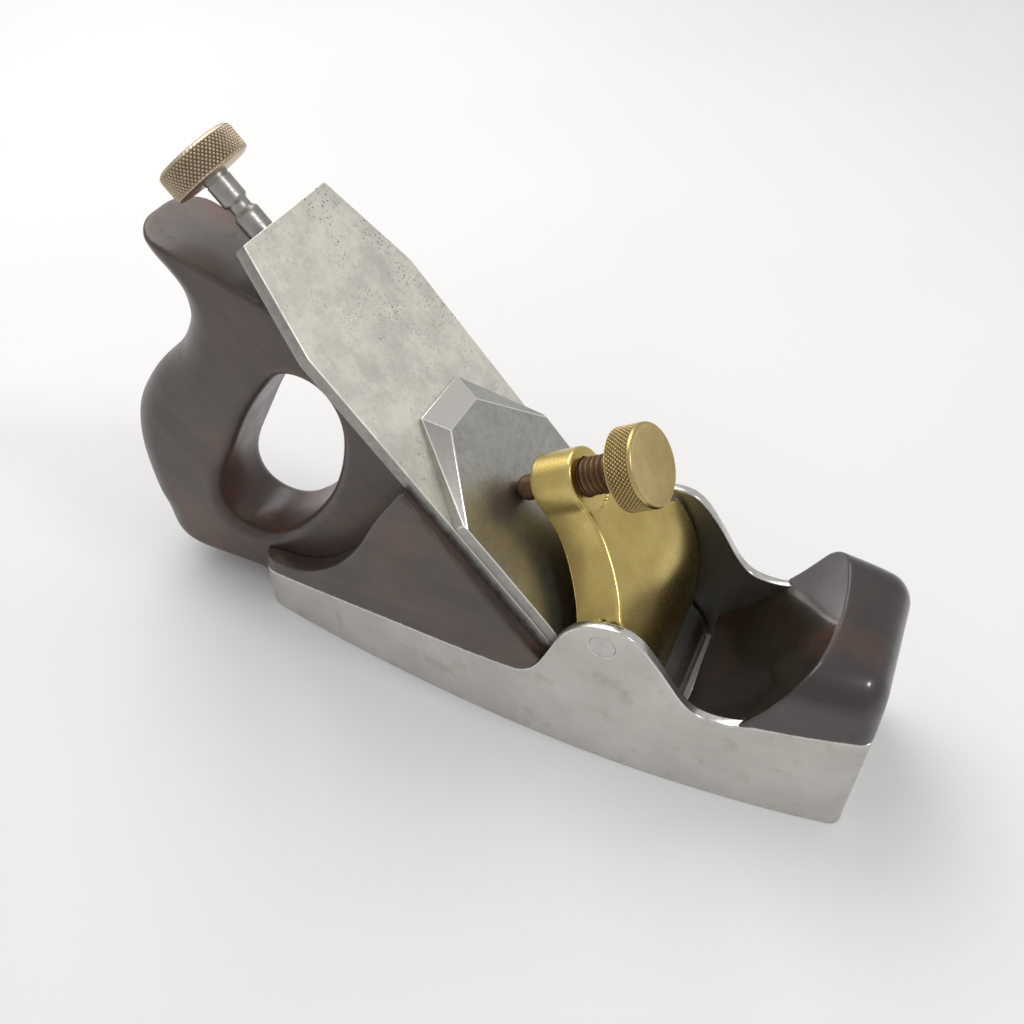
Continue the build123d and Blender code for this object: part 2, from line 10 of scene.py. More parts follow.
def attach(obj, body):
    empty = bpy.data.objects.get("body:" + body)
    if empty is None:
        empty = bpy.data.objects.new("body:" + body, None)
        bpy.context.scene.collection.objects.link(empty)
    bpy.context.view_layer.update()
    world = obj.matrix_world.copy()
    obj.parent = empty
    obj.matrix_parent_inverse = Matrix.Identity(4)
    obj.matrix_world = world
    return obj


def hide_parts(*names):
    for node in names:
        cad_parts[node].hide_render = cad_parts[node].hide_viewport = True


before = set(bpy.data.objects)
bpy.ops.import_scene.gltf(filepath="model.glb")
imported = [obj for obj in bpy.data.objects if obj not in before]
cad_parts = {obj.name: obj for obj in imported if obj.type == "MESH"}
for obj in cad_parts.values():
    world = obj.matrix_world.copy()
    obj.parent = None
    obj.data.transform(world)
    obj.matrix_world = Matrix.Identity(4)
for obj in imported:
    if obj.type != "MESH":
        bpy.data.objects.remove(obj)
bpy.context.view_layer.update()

# ------------------------------------------------------------------ dimensions
# millimetres in the row frame: +X to the toe, +Y to the left side, +Z up
TH = math.radians(47.67)
EDGE_X = 46.8
U = np.array([-math.cos(TH), 0.0, math.sin(TH)])
N = np.array([math.sin(TH), 0.0, math.cos(TH)])
O = np.array([EDGE_X, 0.0, 0.0])
ST = math.radians(10.5)
D = -math.sin(ST) * U + math.cos(ST) * N
IRON_T, CAP_T = 4.5, 4.4
FOOT = O + 94.5 * U + CAP_T * N
SIDE_T = 3.0
SOLE_T = 6.0
MOUTH_X = 48.9

PLAN = [
    (-104.0, 19.9), (-86.7, 22.8), (-69.4, 25.4), (-52.0, 27.7), (-34.7, 29.6),
    (-17.3, 31.1), (0.0, 32.2), (17.3, 32.7), (34.7, 32.7), (52.0, 32.0),
    (69.4, 30.7), (86.7, 28.8), (104.0, 26.1),
]
SIDE_TOP = [
    (-104.0, 17.1), (-94.1, 18.7), (-84.2, 20.2), (-74.3, 21.8), (-64.3, 23.2),
    (-54.4, 24.5), (-44.5, 25.6), (-34.6, 26.4), (-24.7, 27.1), (-14.8, 27.8),
    (-4.9, 28.6), (0.5, 29.6), (3.4, 31.6), (5.8, 35.0), (8.4, 40.6), (10.9, 47.0),
    (13.4, 52.8), (17.4, 58.2), (22.2, 61.4), (28.0, 62.8), (32.5, 62.6),
    (36.8, 60.4), (40.2, 56.8), (43.9, 51.9), (47.5, 46.6), (51.0, 41.6),
    (54.2, 38.4), (57.3, 36.8), (62.0, 36.3), (66.4, 36.9), (70.5, 38.3),
    (78.0, 39.7), (90.0, 41.2), (104.0, 42.9),
]
CHEEK_TOP = [
    (-104.0, 24.6), (-97.0, 25.6), (-90.5, 26.0), (-84.0, 27.6), (-77.0, 31.4), (-71.0, 36.0),
    (-61.6, 46.8), (-55.6, 56.4), (-50.4, 66.6), (-45.2, 75.6), (-38.0, 87.0),
]
TOTE_BACK = [
    (-128.0, 141.5), (-129.7, 138.2), (-129.1, 134.2), (-127.2, 130.7), (-122.9, 125.7),
    (-120.4, 122.2), (-119.4, 117.5), (-119.6, 113.2), (-120.9, 109.2), (-123.6, 103.8),
    (-128.2, 97.2), (-135.2, 90.2), (-140.6, 84.6), (-146.3, 77.2), (-150.6, 70.0),
    (-153.4, 62.0), (-155.1, 52.0), (-155.3, 43.0), (-154.7, 34.5), (-153.0, 25.4),
    (-149.4, 18.2), (-144.6, 12.2), (-138.6, 8.9), (-130.0, 7.9),
]
HOLE = [
    (-80.5, 102.6), (-73.0, 101.0), (-68.2, 94.0), (-67.4, 83.0), (-70.2, 69.0),
    (-75.4, 56.5), (-84.2, 43.2), (-94.0, 32.8), (-103.0, 27.2), (-111.5, 26.0),
    (-118.0, 29.0), (-121.0, 36.0), (-119.4, 47.0), (-112.6, 61.5), (-103.8, 78.5),
    (-93.0, 94.5), (-87.0, 100.6),
]


# ------------------------------------------------------------------ curve helpers
def spline(points, n, closed=False):
    """n points along the C2 cubic through the given points."""
    p = np.array(points, float)
    if closed:
        p = np.vstack([p, p[:1]])
    t = np.concatenate([[0], np.cumsum(np.hypot(*np.diff(p, axis=0).T))])
    m = len(p)
    h = np.diff(t)
    if closed:
        k = m - 1
        a = np.zeros((k, k))
        b = np.zeros((k, 2))
        for i in range(k):
            hp, hn = h[i - 1], h[i]
            a[i, (i - 1) % k] += hp
            a[i, i] += 2 * (hp + hn)
            a[i, (i + 1) % k] += hn
            b[i] = 6 * ((p[i + 1] - p[i]) / hn - (p[i] - p[i - 1 if i else k - 1]) / hp)
        s = np.linalg.solve(a, b)
        s = np.vstack([s, s[:1]])
    else:
        a = np.zeros((m, m))
        b = np.zeros((m, 2))
        a[0, 0] = a[-1, -1] = 1
        for i in range(1, m - 1):
            a[i, i - 1], a[i, i], a[i, i + 1] = h[i - 1], 2 * (h[i - 1] + h[i]), h[i]
            b[i] = 6 * ((p[i + 1] - p[i]) / h[i] - (p[i] - p[i - 1]) / h[i - 1])
        s = np.linalg.solve(a, b)
    q = np.linspace(0, t[-1], n, endpoint=not closed)
    i = np.clip(np.searchsorted(t, q, side="right") - 1, 0, m - 2)
    x0, x1, hi = t[i], t[i + 1], h[i]
    u, v = ((x1 - q) / hi)[:, None], ((q - x0) / hi)[:, None]
    hi = hi[:, None]
    return u * p[i] + v * p[i + 1] + ((u**3 - u) * s[i] + (v**3 - v) * s[i + 1]) * hi**2 / 6


def func_of(points, n=900):
    c = spline(points, n)
    order = np.argsort(c[:, 0])
    return c[order, 0], c[order, 1]


_plan = func_of(PLAN)
_top = func_of(SIDE_TOP, 1600)
_cheek = func_of(CHEEK_TOP)


def width(x):
    return np.interp(x, *_plan)


def side_top(x):
    return np.interp(x, *_top)


def poly_sdf(px, pz, loop):
    """Signed distance to a closed polyline, negative inside."""
    a = np.asarray(loop)
    b = np.roll(a, -1, axis=0)
    out = np.empty(len(px))
    for s in range(0, len(px), 40000):
        x, z = px[s:s + 40000, None], pz[s:s + 40000, None]
        ex, ez = b[:, 0] - a[:, 0], b[:, 1] - a[:, 1]
        wx, wz = x - a[:, 0], z - a[:, 1]
        t = np.clip((wx * ex + wz * ez) / (ex**2 + ez**2 + 1e-12), 0, 1)
        d = np.min((wx - t * ex) ** 2 + (wz - t * ez) ** 2, axis=1)
        cross = ((a[:, 1] <= z) & (b[:, 1] > z)) | ((b[:, 1] <= z) & (a[:, 1] > z))
        xi = a[:, 0] + wz * ex / np.where(ez == 0, 1e-12, ez)
        odd = (np.sum(cross & (x < xi), axis=1) % 2) == 1
        out[s:s + 40000] = np.where(odd, -np.sqrt(d), np.sqrt(d))
    return out


class Field:
    """Signed distance of a closed outline, kept on a fine grid for quick reading."""

    def __init__(self, loop, h=0.35, pad=4.0):
        loop = np.asarray(loop)
        self.lo, hi = loop.min(0) - pad, loop.max(0) + pad
        self.n = np.ceil((hi - self.lo) / h).astype(int) + 1
        self.h = h
        gx, gz = np.meshgrid(self.lo[0] + h * np.arange(self.n[0]), self.lo[1] + h * np.arange(self.n[1]), indexing="ij")
        self.g = poly_sdf(gx.ravel(), gz.ravel(), loop).reshape(gx.shape)

    def __call__(self, x, z):
        a = np.clip((x - self.lo[0]) / self.h, 0, self.n[0] - 1.001)
        b = np.clip((z - self.lo[1]) / self.h, 0, self.n[1] - 1.001)
        i, j = a.astype(int), b.astype(int)
        u, v = a - i, b - j
        g = self.g
        return (g[i, j] * (1 - u) * (1 - v) + g[i + 1, j] * u * (1 - v) + g[i, j + 1] * (1 - u) * v + g[i + 1, j + 1] * u * v)


def rmax(a, b, r):
    """Intersection of two fields with a rounded edge of radius r."""
    p, q = a + r, b + r
    return np.hypot(np.maximum(p, 0), np.maximum(q, 0)) + np.minimum(np.maximum(p, q), 0) - r


def rmin(a, b, r):
    return -rmax(-a, -b, r)


def smooth(e0, e1, x):
    t = np.clip((x - e0) / (e1 - e0), 0, 1)
    return t * t * (3 - 2 * t)


# ------------------------------------------------------------------ mesh helpers
def to_object(name, verts, faces, material, body, cad, smooth_shade=True, attrs=None, sharp=None):
    me = bpy.data.meshes.new(name)
    me.from_pydata((np.asarray(verts) / 1000.0).tolist(), [], [list(map(int, f)) for f in faces])
    me.validate()
    me.update()
    ob = bpy.data.objects.new(name, me)
    bpy.context.scene.collection.objects.link(ob)
    if smooth_shade:
        me.polygons.foreach_set("use_smooth", np.ones(len(me.polygons), bool))
    if sharp:
        me.set_sharp_from_angle(angle=math.radians(sharp))
    for key, values in (attrs or {}).items():
        at = me.attributes.new(key, "FLOAT", "POINT")
        at.data.foreach_set("value", np.asarray(values, np.float32))
    me.materials.append(material)
    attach(ob, body)
    if cad:
        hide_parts(*([cad] if isinstance(cad, str) else cad))
    return ob


def carve(name, f, lo, hi, h, material, body, cad, attr=None, steps=4, sharp=None):
    """Mesh of the zero surface of the field f over a box, by surface nets, then pulled onto the surface."""
    ax = [np.arange(a, b + h, h) for a, b in zip(lo, hi)]
    gx, gy, gz = np.meshgrid(*ax, indexing="ij")
    val = f(gx.ravel(), gy.ravel(), gz.ravel()).reshape(gx.shape)
    ins = val < 0
    c = [ins[i:ins.shape[0] - 1 + i, j:ins.shape[1] - 1 + j, k:ins.shape[2] - 1 + k] for i in (0, 1) for j in (0, 1) for k in (0, 1)]
    count = sum(x.astype(int) for x in c)
    mixed = (count > 0) & (count < 8)
    idx = -np.ones(mixed.shape, int)
    cells = np.argwhere(mixed)
    idx[mixed] = np.arange(len(cells))
    # start from the mean of the edge crossings
    acc = np.zeros((len(cells), 3))
    num = np.zeros(len(cells))
    i0, j0, k0 = cells.T
    offs = [(i, j, k) for i in (0, 1) for j in (0, 1) for k in (0, 1)]
    for a in offs:
        for b in offs:
            d = np.subtract(b, a)
            if d.sum() != 1 or (d < 0).any():
                continue
            va = val[i0 + a[0], j0 + a[1], k0 + a[2]]
            vb = val[i0 + b[0], j0 + b[1], k0 + b[2]]
            hit = (va < 0) != (vb < 0)
            t = np.where(hit, va / np.where(va == vb, 1, va - vb), 0)
            p = np.array(a)[None] + t[:, None] * d[None]
            acc += p * hit[:, None]
            num += hit
    pts = (cells + acc / num[:, None]) * h + np.array([ax[0][0], ax[1][0], ax[2][0]])
    e = 0.02
    for _ in range(steps):
        x, y, z = pts.T
        v = f(x, y, z)
        g = np.stack([f(x + e, y, z) - f(x - e, y, z), f(x, y + e, z) - f(x, y - e, z), f(x, y, z + e) - f(x, y, z - e)], 1) / (2 * e)
        gg = np.maximum((g**2).sum(1), 0.05)
        step = -(v / gg)[:, None] * g
        ln = np.linalg.norm(step, axis=1, keepdims=True)
        pts += step * np.minimum(1, 0.6 * h / np.maximum(ln, 1e-9))
    quads = []
    for axis in range(3):
        o1, o2 = [(1, 2), (2, 0), (0, 1)][axis]
        sl_a = [slice(None)] * 3
        sl_b = [slice(None)] * 3
        sl_a[axis], sl_b[axis] = slice(0, -1), slice(1, None)
        change = ins[tuple(sl_a)] != ins[tuple(sl_b)]
        e_idx = np.argwhere(change)
        e_idx = e_idx[(e_idx[:, o1] > 0) & (e_idx[:, o2] > 0) & (e_idx[:, o1] < ins.shape[o1] - 1) & (e_idx[:, o2] < ins.shape[o2] - 1)]
        u1, u2 = np.zeros(3, int), np.zeros(3, int)
        u1[o1], u2[o2] = 1, 1
        q = np.stack([idx[tuple((e_idx - u1 - u2).T)], idx[tuple((e_idx - u2).T)], idx[tuple(e_idx.T)], idx[tuple((e_idx - u1).T)]], 1)
        flip = ~ins[tuple(e_idx.T)]
        q[flip] = q[flip][:, ::-1]
        quads.append(q)
    quads = np.vstack(quads)
    quads = quads[(quads >= 0).all(1)]
    attrs = {k: fn(*pts.T) for k, fn in (attr or {}).items()}
    return to_object(name, pts, quads, material, body, cad, attrs=attrs, sharp=sharp)


def inset(loop, d):
    """A closed loop (counter-clockwise) moved inwards by d."""
    p = np.asarray(loop)
    a, b = p - np.roll(p, 1, axis=0), np.roll(p, -1, axis=0) - p
    na = np.stack([-a[:, 1], a[:, 0]], 1) / np.maximum(np.linalg.norm(a, axis=1), 1e-9)[:, None]
    nb = np.stack([-b[:, 1], b[:, 0]], 1) / np.maximum(np.linalg.norm(b, axis=1), 1e-9)[:, None]
    m = na + nb
    m /= np.maximum((m * na).sum(1), 0.35)[:, None]
    return p + m * d


def slab(name, loops, front, back, r, material, body, cad, grid=4.0, segs=3, wall=1.0):
    """A plate bounded by 2D loops (outer counter-clockwise, holes clockwise) with rounded edges.
    front(s, z, depth) and back(s, z, depth) give the points of the two skins, sunk by a depth."""
    verts, faces, edge, inner_face_patina_and_shade, rim = [], [], [], [], []
    rings = {}
    for side, skin in (("f", front), ("b", back)):
        for li, loop in enumerate(loops):
            for k in range(segs + 2):
                phi = math.pi / 2 * min(k, segs) / segs
                l2 = inset(loop, r * (1 - math.cos(phi)) + (0.3 if k > segs else 0.0))
                start = len(verts)
                verts.extend(skin(l2[:, 0], l2[:, 1], r * (1 - math.sin(phi))).tolist())
                edge.extend([0.0 if k > segs else (wall if k == 0 else (1.0 if side == "f" else wall))] * len(l2))
                # 1 on the inner faces of the plates, which the steel paints darker: partly patina, partly painted shade
                inner_face_patina_and_shade.extend([1.0 if side == "b" and k >= segs else 0.0] * len(l2))
                rim.extend([1.0 if k == 0 else 0.0] * len(l2))
                rings[side, li, k] = (start, l2)
        # inner skin
        flat, edges = [], []
        ids = []
        for li in range(len(loops)):
            s, l2 = rings[side, li, segs + 1]
            base = len(flat)
            flat.extend(l2.tolist())
            ids.extend(range(s, s + len(l2)))
            edges.extend([(base + i, base + (i + 1) % len(l2)) for i in range(len(l2))])
        outer = np.asarray(rings[side, 0, segs + 1][1])
        lo, hi = outer.min(0), outer.max(0)
        gx, gz = np.meshgrid(np.arange(lo[0] + grid / 2, hi[0], grid), np.arange(lo[1] + grid / 2, hi[1], grid), indexing="ij")
        gx, gz = gx.ravel(), gz.ravel()
        keep = poly_sdf(gx, gz, outer) < -grid * 0.35
        for li in range(1, len(loops)):
            keep &= poly_sdf(gx, gz, np.asarray(rings[side, li, segs + 1][1])) > grid * 0.35
        base = len(flat)
        inner = np.stack([gx[keep], gz[keep]], 1)
        flat.extend(inner.tolist())
        start = len(verts)
        if len(inner):
            verts.extend(skin(inner[:, 0], inner[:, 1], 0.0).tolist())
            edge.extend([0.0] * len(inner))
            inner_face_patina_and_shade.extend([1.0 if side == "b" else 0.0] * len(inner))
            rim.extend([0.0] * len(inner))
        ids.extend(range(start, start + len(inner)))
        v2, _, f2, ov, _, _ = delaunay_2d_cdt([Vector(p) for p in flat], edges, [], 1 if len(loops) == 1 else 2, 1e-7)
        table = [ids[o[0]] if o else None for o in ov]
        centre_ok = []
        for f in f2:
            t = [table[i] for i in f]
            if None in t:
                continue
            c = np.mean([v2[i] for i in f], axis=0)
            centre_ok.append((t, c))
        if centre_ok:
            cs = np.array([c for _, c in centre_ok])
            ok = poly_sdf(cs[:, 0], cs[:, 1], outer) < 0
            for li in range(1, len(loops)):
                ok &= poly_sdf(cs[:, 0], cs[:, 1], np.asarray(rings[side, li, segs + 1][1])) > 0
            for (t, _), o in zip(centre_ok, ok):
                if o:
                    faces.append(t if side == "f" else t[::-1])
    for li, loop in enumerate(loops):
        n = len(loop)
        for side in "fb":
            for k in range(segs + 1):
                a, b = rings[side, li, k][0], rings[side, li, k + 1][0]
                for i in range(n):
                    j = (i + 1) % n
                    q = [a + i, a + j, b + j, b + i]
                    faces.append(q if side == "f" else q[::-1])
        a, b = rings["f", li, 0][0], rings["b", li, 0][0]
        for i in range(n):
            j = (i + 1) % n
            faces.append([b + i, b + j, a + j, a + i])
    ob = to_object(name, verts, faces, material, body, cad, attrs={"edge": edge, "inner": inner_face_patina_and_shade, "rim": rim})
    bm = bmesh.new()
    bm.from_mesh(ob.data)
    bmesh.ops.recalc_face_normals(bm, faces=bm.faces)
    bm.to_mesh(ob.data)
    bm.free()
    ob.data.set_sharp_from_angle(angle=math.radians(40))
    return ob


def lathe(name, profile, origin, axis, material, body, cad, n=96, radius=None, attr=None, sharp=35, cap=True):
    """A turned piece: profile is (distance along the axis, radius). radius(s, phi, r) may reshape it."""
    axis = np.asarray(axis) / np.linalg.norm(axis)
    yv = np.array([0.0, 1.0, 0.0])
    xv = np.cross(yv, axis)
    prof = np.asarray(profile, float)
    phi = np.linspace(0, 2 * math.pi, n, endpoint=False)
    s, ph = np.meshgrid(prof[:, 0], phi, indexing="ij")
    r = np.repeat(prof[:, 1][:, None], n, axis=1)
    at = {}
    if radius is not None:
        r, depth = radius(s, ph, r)
        at["cav"] = depth.ravel()
    p = np.asarray(origin)[None, None] + s[..., None] * axis + r[..., None] * (np.cos(ph)[..., None] * xv + np.sin(ph)[..., None] * yv)
    verts = p.reshape(-1, 3)
    faces = []
    m = len(prof)
    for i in range(m - 1):
        a = i * n + np.arange(n)
        b = i * n + (np.arange(n) + 1) % n
        faces.extend(np.stack([a, b, b + n, a + n], 1).tolist())
    if cap:
        faces.append(list(range(n))[::-1])
        faces.append([(m - 1) * n + i for i in range(n)])
    for key, fn in (attr or {}).items():
        at[key] = fn(s, ph, r).ravel()
    ob = to_object(name, verts, faces, material, body, cad, attrs=at)
    bm = bmesh.new()
    bm.from_mesh(ob.data)
    bmesh.ops.recalc_face_normals(bm, faces=bm.faces)
    bm.to_mesh(ob.data)
    bm.free()
    ob.data.set_sharp_from_angle(angle=math.radians(sharp))
    return ob


# ------------------------------------------------------------------ materials
class Mat:
    """A small builder for node materials. Coordinates are object coordinates in millimetres."""

    def __init__(self, name):
        self.m = bpy.data.materials.new(name)
        self.m.use_nodes = True
        self.t = self.m.node_tree
        self.t.nodes.clear()
        self.out = self.t.nodes.new("ShaderNodeOutputMaterial")
        self.p = self.t.nodes.new("ShaderNodeBsdfPrincipled")
        self.t.links.new(self.p.outputs[0], self.out.inputs[0])
        tc = self.t.nodes.new("ShaderNodeTexCoord")
        self.co = self.map(tc.outputs["Object"], scale=(1000, 1000, 1000))

    def link(self, a, b):
        self.t.links.new(a, b)

    def map(self, src, scale=(1, 1, 1), rot=(0, 0, 0), loc=(0, 0, 0)):
        n = self.t.nodes.new("ShaderNodeMapping")
        n.inputs["Scale"].default_value = scale
        n.inputs["Rotation"].default_value = rot
        n.inputs["Location"].default_value = loc
        self.link(src, n.inputs["Vector"])
        return n.outputs[0]

    def noise(self, scale, detail=4.0, rough=0.55, src=None, dist=0.0, out="Fac"):
        n = self.t.nodes.new("ShaderNodeTexNoise")
        n.inputs["Scale"].default_value = scale
        n.inputs["Detail"].default_value = detail
        n.inputs["Roughness"].default_value = rough
        n.inputs["Distortion"].default_value = dist
        self.link(src or self.co, n.inputs["Vector"])
        return n.outputs[out]

    def voronoi(self, scale, src=None, feature="F1", rand=1.0, out="Distance"):
        n = self.t.nodes.new("ShaderNodeTexVoronoi")
        n.feature = feature
        n.inputs["Scale"].default_value = scale
        n.inputs["Randomness"].default_value = rand
        self.link(src or self.co, n.inputs["Vector"])
        return n.outputs[out]

    def wave(self, scale, src=None, dist=4.0, detail=3.0, dscale=1.0, kind="BANDS", direction="X"):
        n = self.t.nodes.new("ShaderNodeTexWave")
        n.wave_type = kind
        if kind == "BANDS":
            n.bands_direction = direction
        n.inputs["Scale"].default_value = scale
        n.inputs["Distortion"].default_value = dist
        n.inputs["Detail"].default_value = detail
        n.inputs["Detail Scale"].default_value = dscale
        self.link(src or self.co, n.inputs["Vector"])
        return n.outputs["Fac"]

    def ramp(self, src, stops, mode="LINEAR"):
        n = self.t.nodes.new("ShaderNodeValToRGB")
        n.color_ramp.interpolation = mode
        e = n.color_ramp.elements
        while len(e) < len(stops):
            e.new(0.5)
        for el, (pos, col) in zip(e, stops):
            el.position = pos
            c = col if isinstance(col, (tuple, list)) else (col, col, col)
            el.color = (*c, 1.0)
        self.link(src, n.inputs[0])
        return n.outputs[0]

    def maprange(self, src, a, b, c, d, smoothstep=False):
        n = self.t.nodes.new("ShaderNodeMapRange")
        if smoothstep:
            n.interpolation_type = "SMOOTHSTEP"
        for key, v in zip(("From Min", "From Max", "To Min", "To Max"), (a, b, c, d)):
            n.inputs[key].default_value = v
        self.link(src, n.inputs["Value"])
        return n.outputs[0]

    def mix(self, fac, a, b, mode="MIX"):
        n = self.t.nodes.new("ShaderNodeMix")
        n.data_type = "RGBA"
        n.blend_type = mode
        for sock, v in ((n.inputs[0], fac), (n.inputs[6], a), (n.inputs[7], b)):
            if isinstance(v, bpy.types.NodeSocket):
                self.link(v, sock)
            elif isinstance(v, (tuple, list)):
                sock.default_value = (*v, 1.0)
            else:
                sock.default_value = v
        return n.outputs[2]

    def math(self, op, a, b=None, c=None):
        n = self.t.nodes.new("ShaderNodeMath")
        n.operation = op
        for sock, v in zip(n.inputs, (a, b, c)):
            if v is None:
                continue
            if isinstance(v, bpy.types.NodeSocket):
                self.link(v, sock)
            else:
                sock.default_value = v
        return n.outputs[0]

    def attr(self, name):
        n = self.t.nodes.new("ShaderNodeAttribute")
        n.attribute_name = name
        return n.outputs["Fac"]

    def axis(self, k, src=None):
        n = self.t.nodes.new("ShaderNodeSeparateXYZ")
        self.link(src or self.co, n.inputs[0])
        return n.outputs[k]

    def bump(self, height, strength, distance_mm, normal=None):
        n = self.t.nodes.new("ShaderNodeBump")
        n.inputs["Strength"].default_value = strength
        n.inputs["Distance"].default_value = distance_mm / 1000.0
        self.link(height, n.inputs["Height"])
        if normal is not None:
            self.link(normal, n.inputs["Normal"])
        return n.outputs[0]

    def set(self, **kw):
        names = {"color": "Base Color", "rough": "Roughness", "metal": "Metallic", "normal": "Normal", "spec": "Specular IOR Level", "coat": "Coat Weight", "coat_rough": "Coat Roughness", "ior": "IOR", "aniso": "Anisotropic"}
        for k, v in kw.items():
            s = self.p.inputs[names[k]]
            if isinstance(v, bpy.types.NodeSocket):
                self.link(v, s)
            elif isinstance(v, (tuple, list)):
                s.default_value = (*v, 1.0)
            else:
                s.default_value = v
        return self.m


def body_steel():
    m = Mat("body_steel")
    # fine draw-filed lines along the side, faint stains and a few rust freckles
    lines = m.noise(1.0, 6, 0.6, m.map(m.co, (0.03, 2.2, 2.2)))
    fine = m.noise(1.0, 3, 0.5, m.map(m.co, (0.12, 9.0, 9.0)))
    cloud = m.noise(0.035, 5, 0.6)
    stain = m.ramp(m.noise(0.11, 6, 0.62), [(0.0, 0.0), (0.56, 0.0), (0.74, 1.0)])
    freck = m.ramp(m.noise(0.55, 4, 0.7), [(0.0, 0.0), (0.70, 0.0), (0.80, 1.0)])
    col = m.mix(m.maprange(cloud, 0.3, 0.7, 0, 1), (0.52, 0.505, 0.475), (0.68, 0.665, 0.63))
    col = m.mix(m.maprange(lines, 0.3, 0.7, 0.0, 0.22), col, (0.47, 0.46, 0.43))
    col = m.mix(m.math("MULTIPLY", stain, 0.45), col, (0.36, 0.34, 0.30))
    col = m.mix(m.math("MULTIPLY", freck, 0.5), col, (0.27, 0.23, 0.19))
    # inner faces of the plates painted darker: partly patina, partly painted shade of the throat and painted reflection
    # of the dark wood
    inner = m.attr("inner")
    col = m.mix(m.math("MULTIPLY", inner, 0.86), col, (0.36, 0.355, 0.33))
    edge = m.attr("edge")
    worn = m.maprange(m.noise(0.5, 4, 0.7), 0.35, 0.65, 0.0, 0.6, True)
    col = m.mix(m.math("MULTIPLY", edge, worn), col, (0.76, 0.75, 0.72))
    rough = m.maprange(lines, 0.25, 0.75, 0.34, 0.48)
    rough = m.math("ADD", rough, m.math("MULTIPLY", stain, 0.12))
    rough = m.math("SUBTRACT", rough, m.math("MULTIPLY", edge, 0.22))
    nb = m.bump(fine, 0.25, 0.05)
    nb = m.bump(lines, 0.22, 0.08, nb)
    nb = m.bump(freck, 0.3, -0.06, nb)
    return m.set(color=col, rough=rough, metal=1.0, normal=nb)


def iron_steel():
    m = Mat("iron_steel")
    # surface ground lengthwise, mottled with brown-grey, dark pits mostly towards one upper corner
    along = m.map(m.co, (1, 1, 1), rot=(0, TH, 0))
    lines = m.noise(1.0, 5, 0.6, m.map(along, (0.05, 3.0, 1.0)))
    cloud = m.noise(0.05, 6, 0.65)
    mott = m.noise(0.35, 5, 0.7)
    pits = m.voronoi(0.85, m.map(m.co, (1, 1, 1)), rand=1.0)
    pmask = m.ramp(m.noise(0.09, 3, 0.6), [(0.0, 0.0), (0.46, 0.0), (0.62, 1.0)])
    high = m.maprange(m.axis(2), 70.0, 128.0, 0.15, 1.0, True)
    right = m.maprange(m.axis(1), -26.0, 16.0, 0.1, 1.0, True)
    region = m.math("MAXIMUM", m.math("MULTIPLY", pmask, m.math("MULTIPLY", high, right)), m.math("MULTIPLY", m.maprange(m.noise(0.3, 3, 0.6), 0.56, 0.68, 0.0, 1.0, True), 0.6))
    pit = m.math("MULTIPLY", m.ramp(pits, [(0.0, 1.0), (0.20, 0.8), (0.34, 0.0)]), region)
    speck = m.math("MULTIPLY", m.ramp(m.voronoi(2.3, rand=1.0), [(0.0, 1.0), (0.13, 0.7), (0.2, 0.0)]), m.maprange(cloud, 0.42, 0.7, 0.0, 0.8))
    dark = m.math("MAXIMUM", pit, m.math("MULTIPLY", speck, 0.5))
    blotch = m.noise(0.12, 6, 0.7, m.map(along, (0.5, 1.0, 1.0)))
    col = m.mix(m.maprange(cloud, 0.35, 0.65, 0, 1, True), (0.66, 0.645, 0.575), (0.86, 0.845, 0.745))
    col = m.mix(m.maprange(blotch, 0.42, 0.62, 0, 0.7, True), col, (0.93, 0.92, 0.80))
    col = m.mix(m.maprange(mott, 0.40, 0.70, 0, 0.5, True), col, (0.52, 0.505, 0.42))
    # painted shade: the iron is darkened lower down, towards the cap iron
    col = m.mix(m.maprange(m.axis(2), 98.0, 52.0, 0.0, 0.62, True), col, (0.44, 0.425, 0.375))
    col = m.mix(m.maprange(lines, 0.3, 0.7, 0.0, 0.25), col, (0.86, 0.845, 0.79))
    col = m.mix(m.math("MULTIPLY", dark, 0.85), col, (0.085, 0.075, 0.065))
    rim = m.attr("rim")
    col = m.mix(m.math("MULTIPLY", rim, 0.9), col, m.mix(m.maprange(mott, 0.35, 0.65, 0, 1), (0.20, 0.19, 0.175), (0.36, 0.35, 0.33)))
    edge = m.attr("edge")
    col = m.mix(m.math("MULTIPLY", edge, 0.12), col, (0.72, 0.71, 0.68))
    rough = m.math("ADD", m.maprange(mott, 0.3, 0.7, 0.36, 0.52), m.math("MULTIPLY", dark, 0.25))
    nb = m.bump(lines, 0.18, 0.08)
    nb = m.bump(mott, 0.15, 0.12, nb)
    nb = m.bump(dark, 0.55, -0.14, nb)
    return m.set(color=col, rough=rough, metal=1.0, normal=nb)


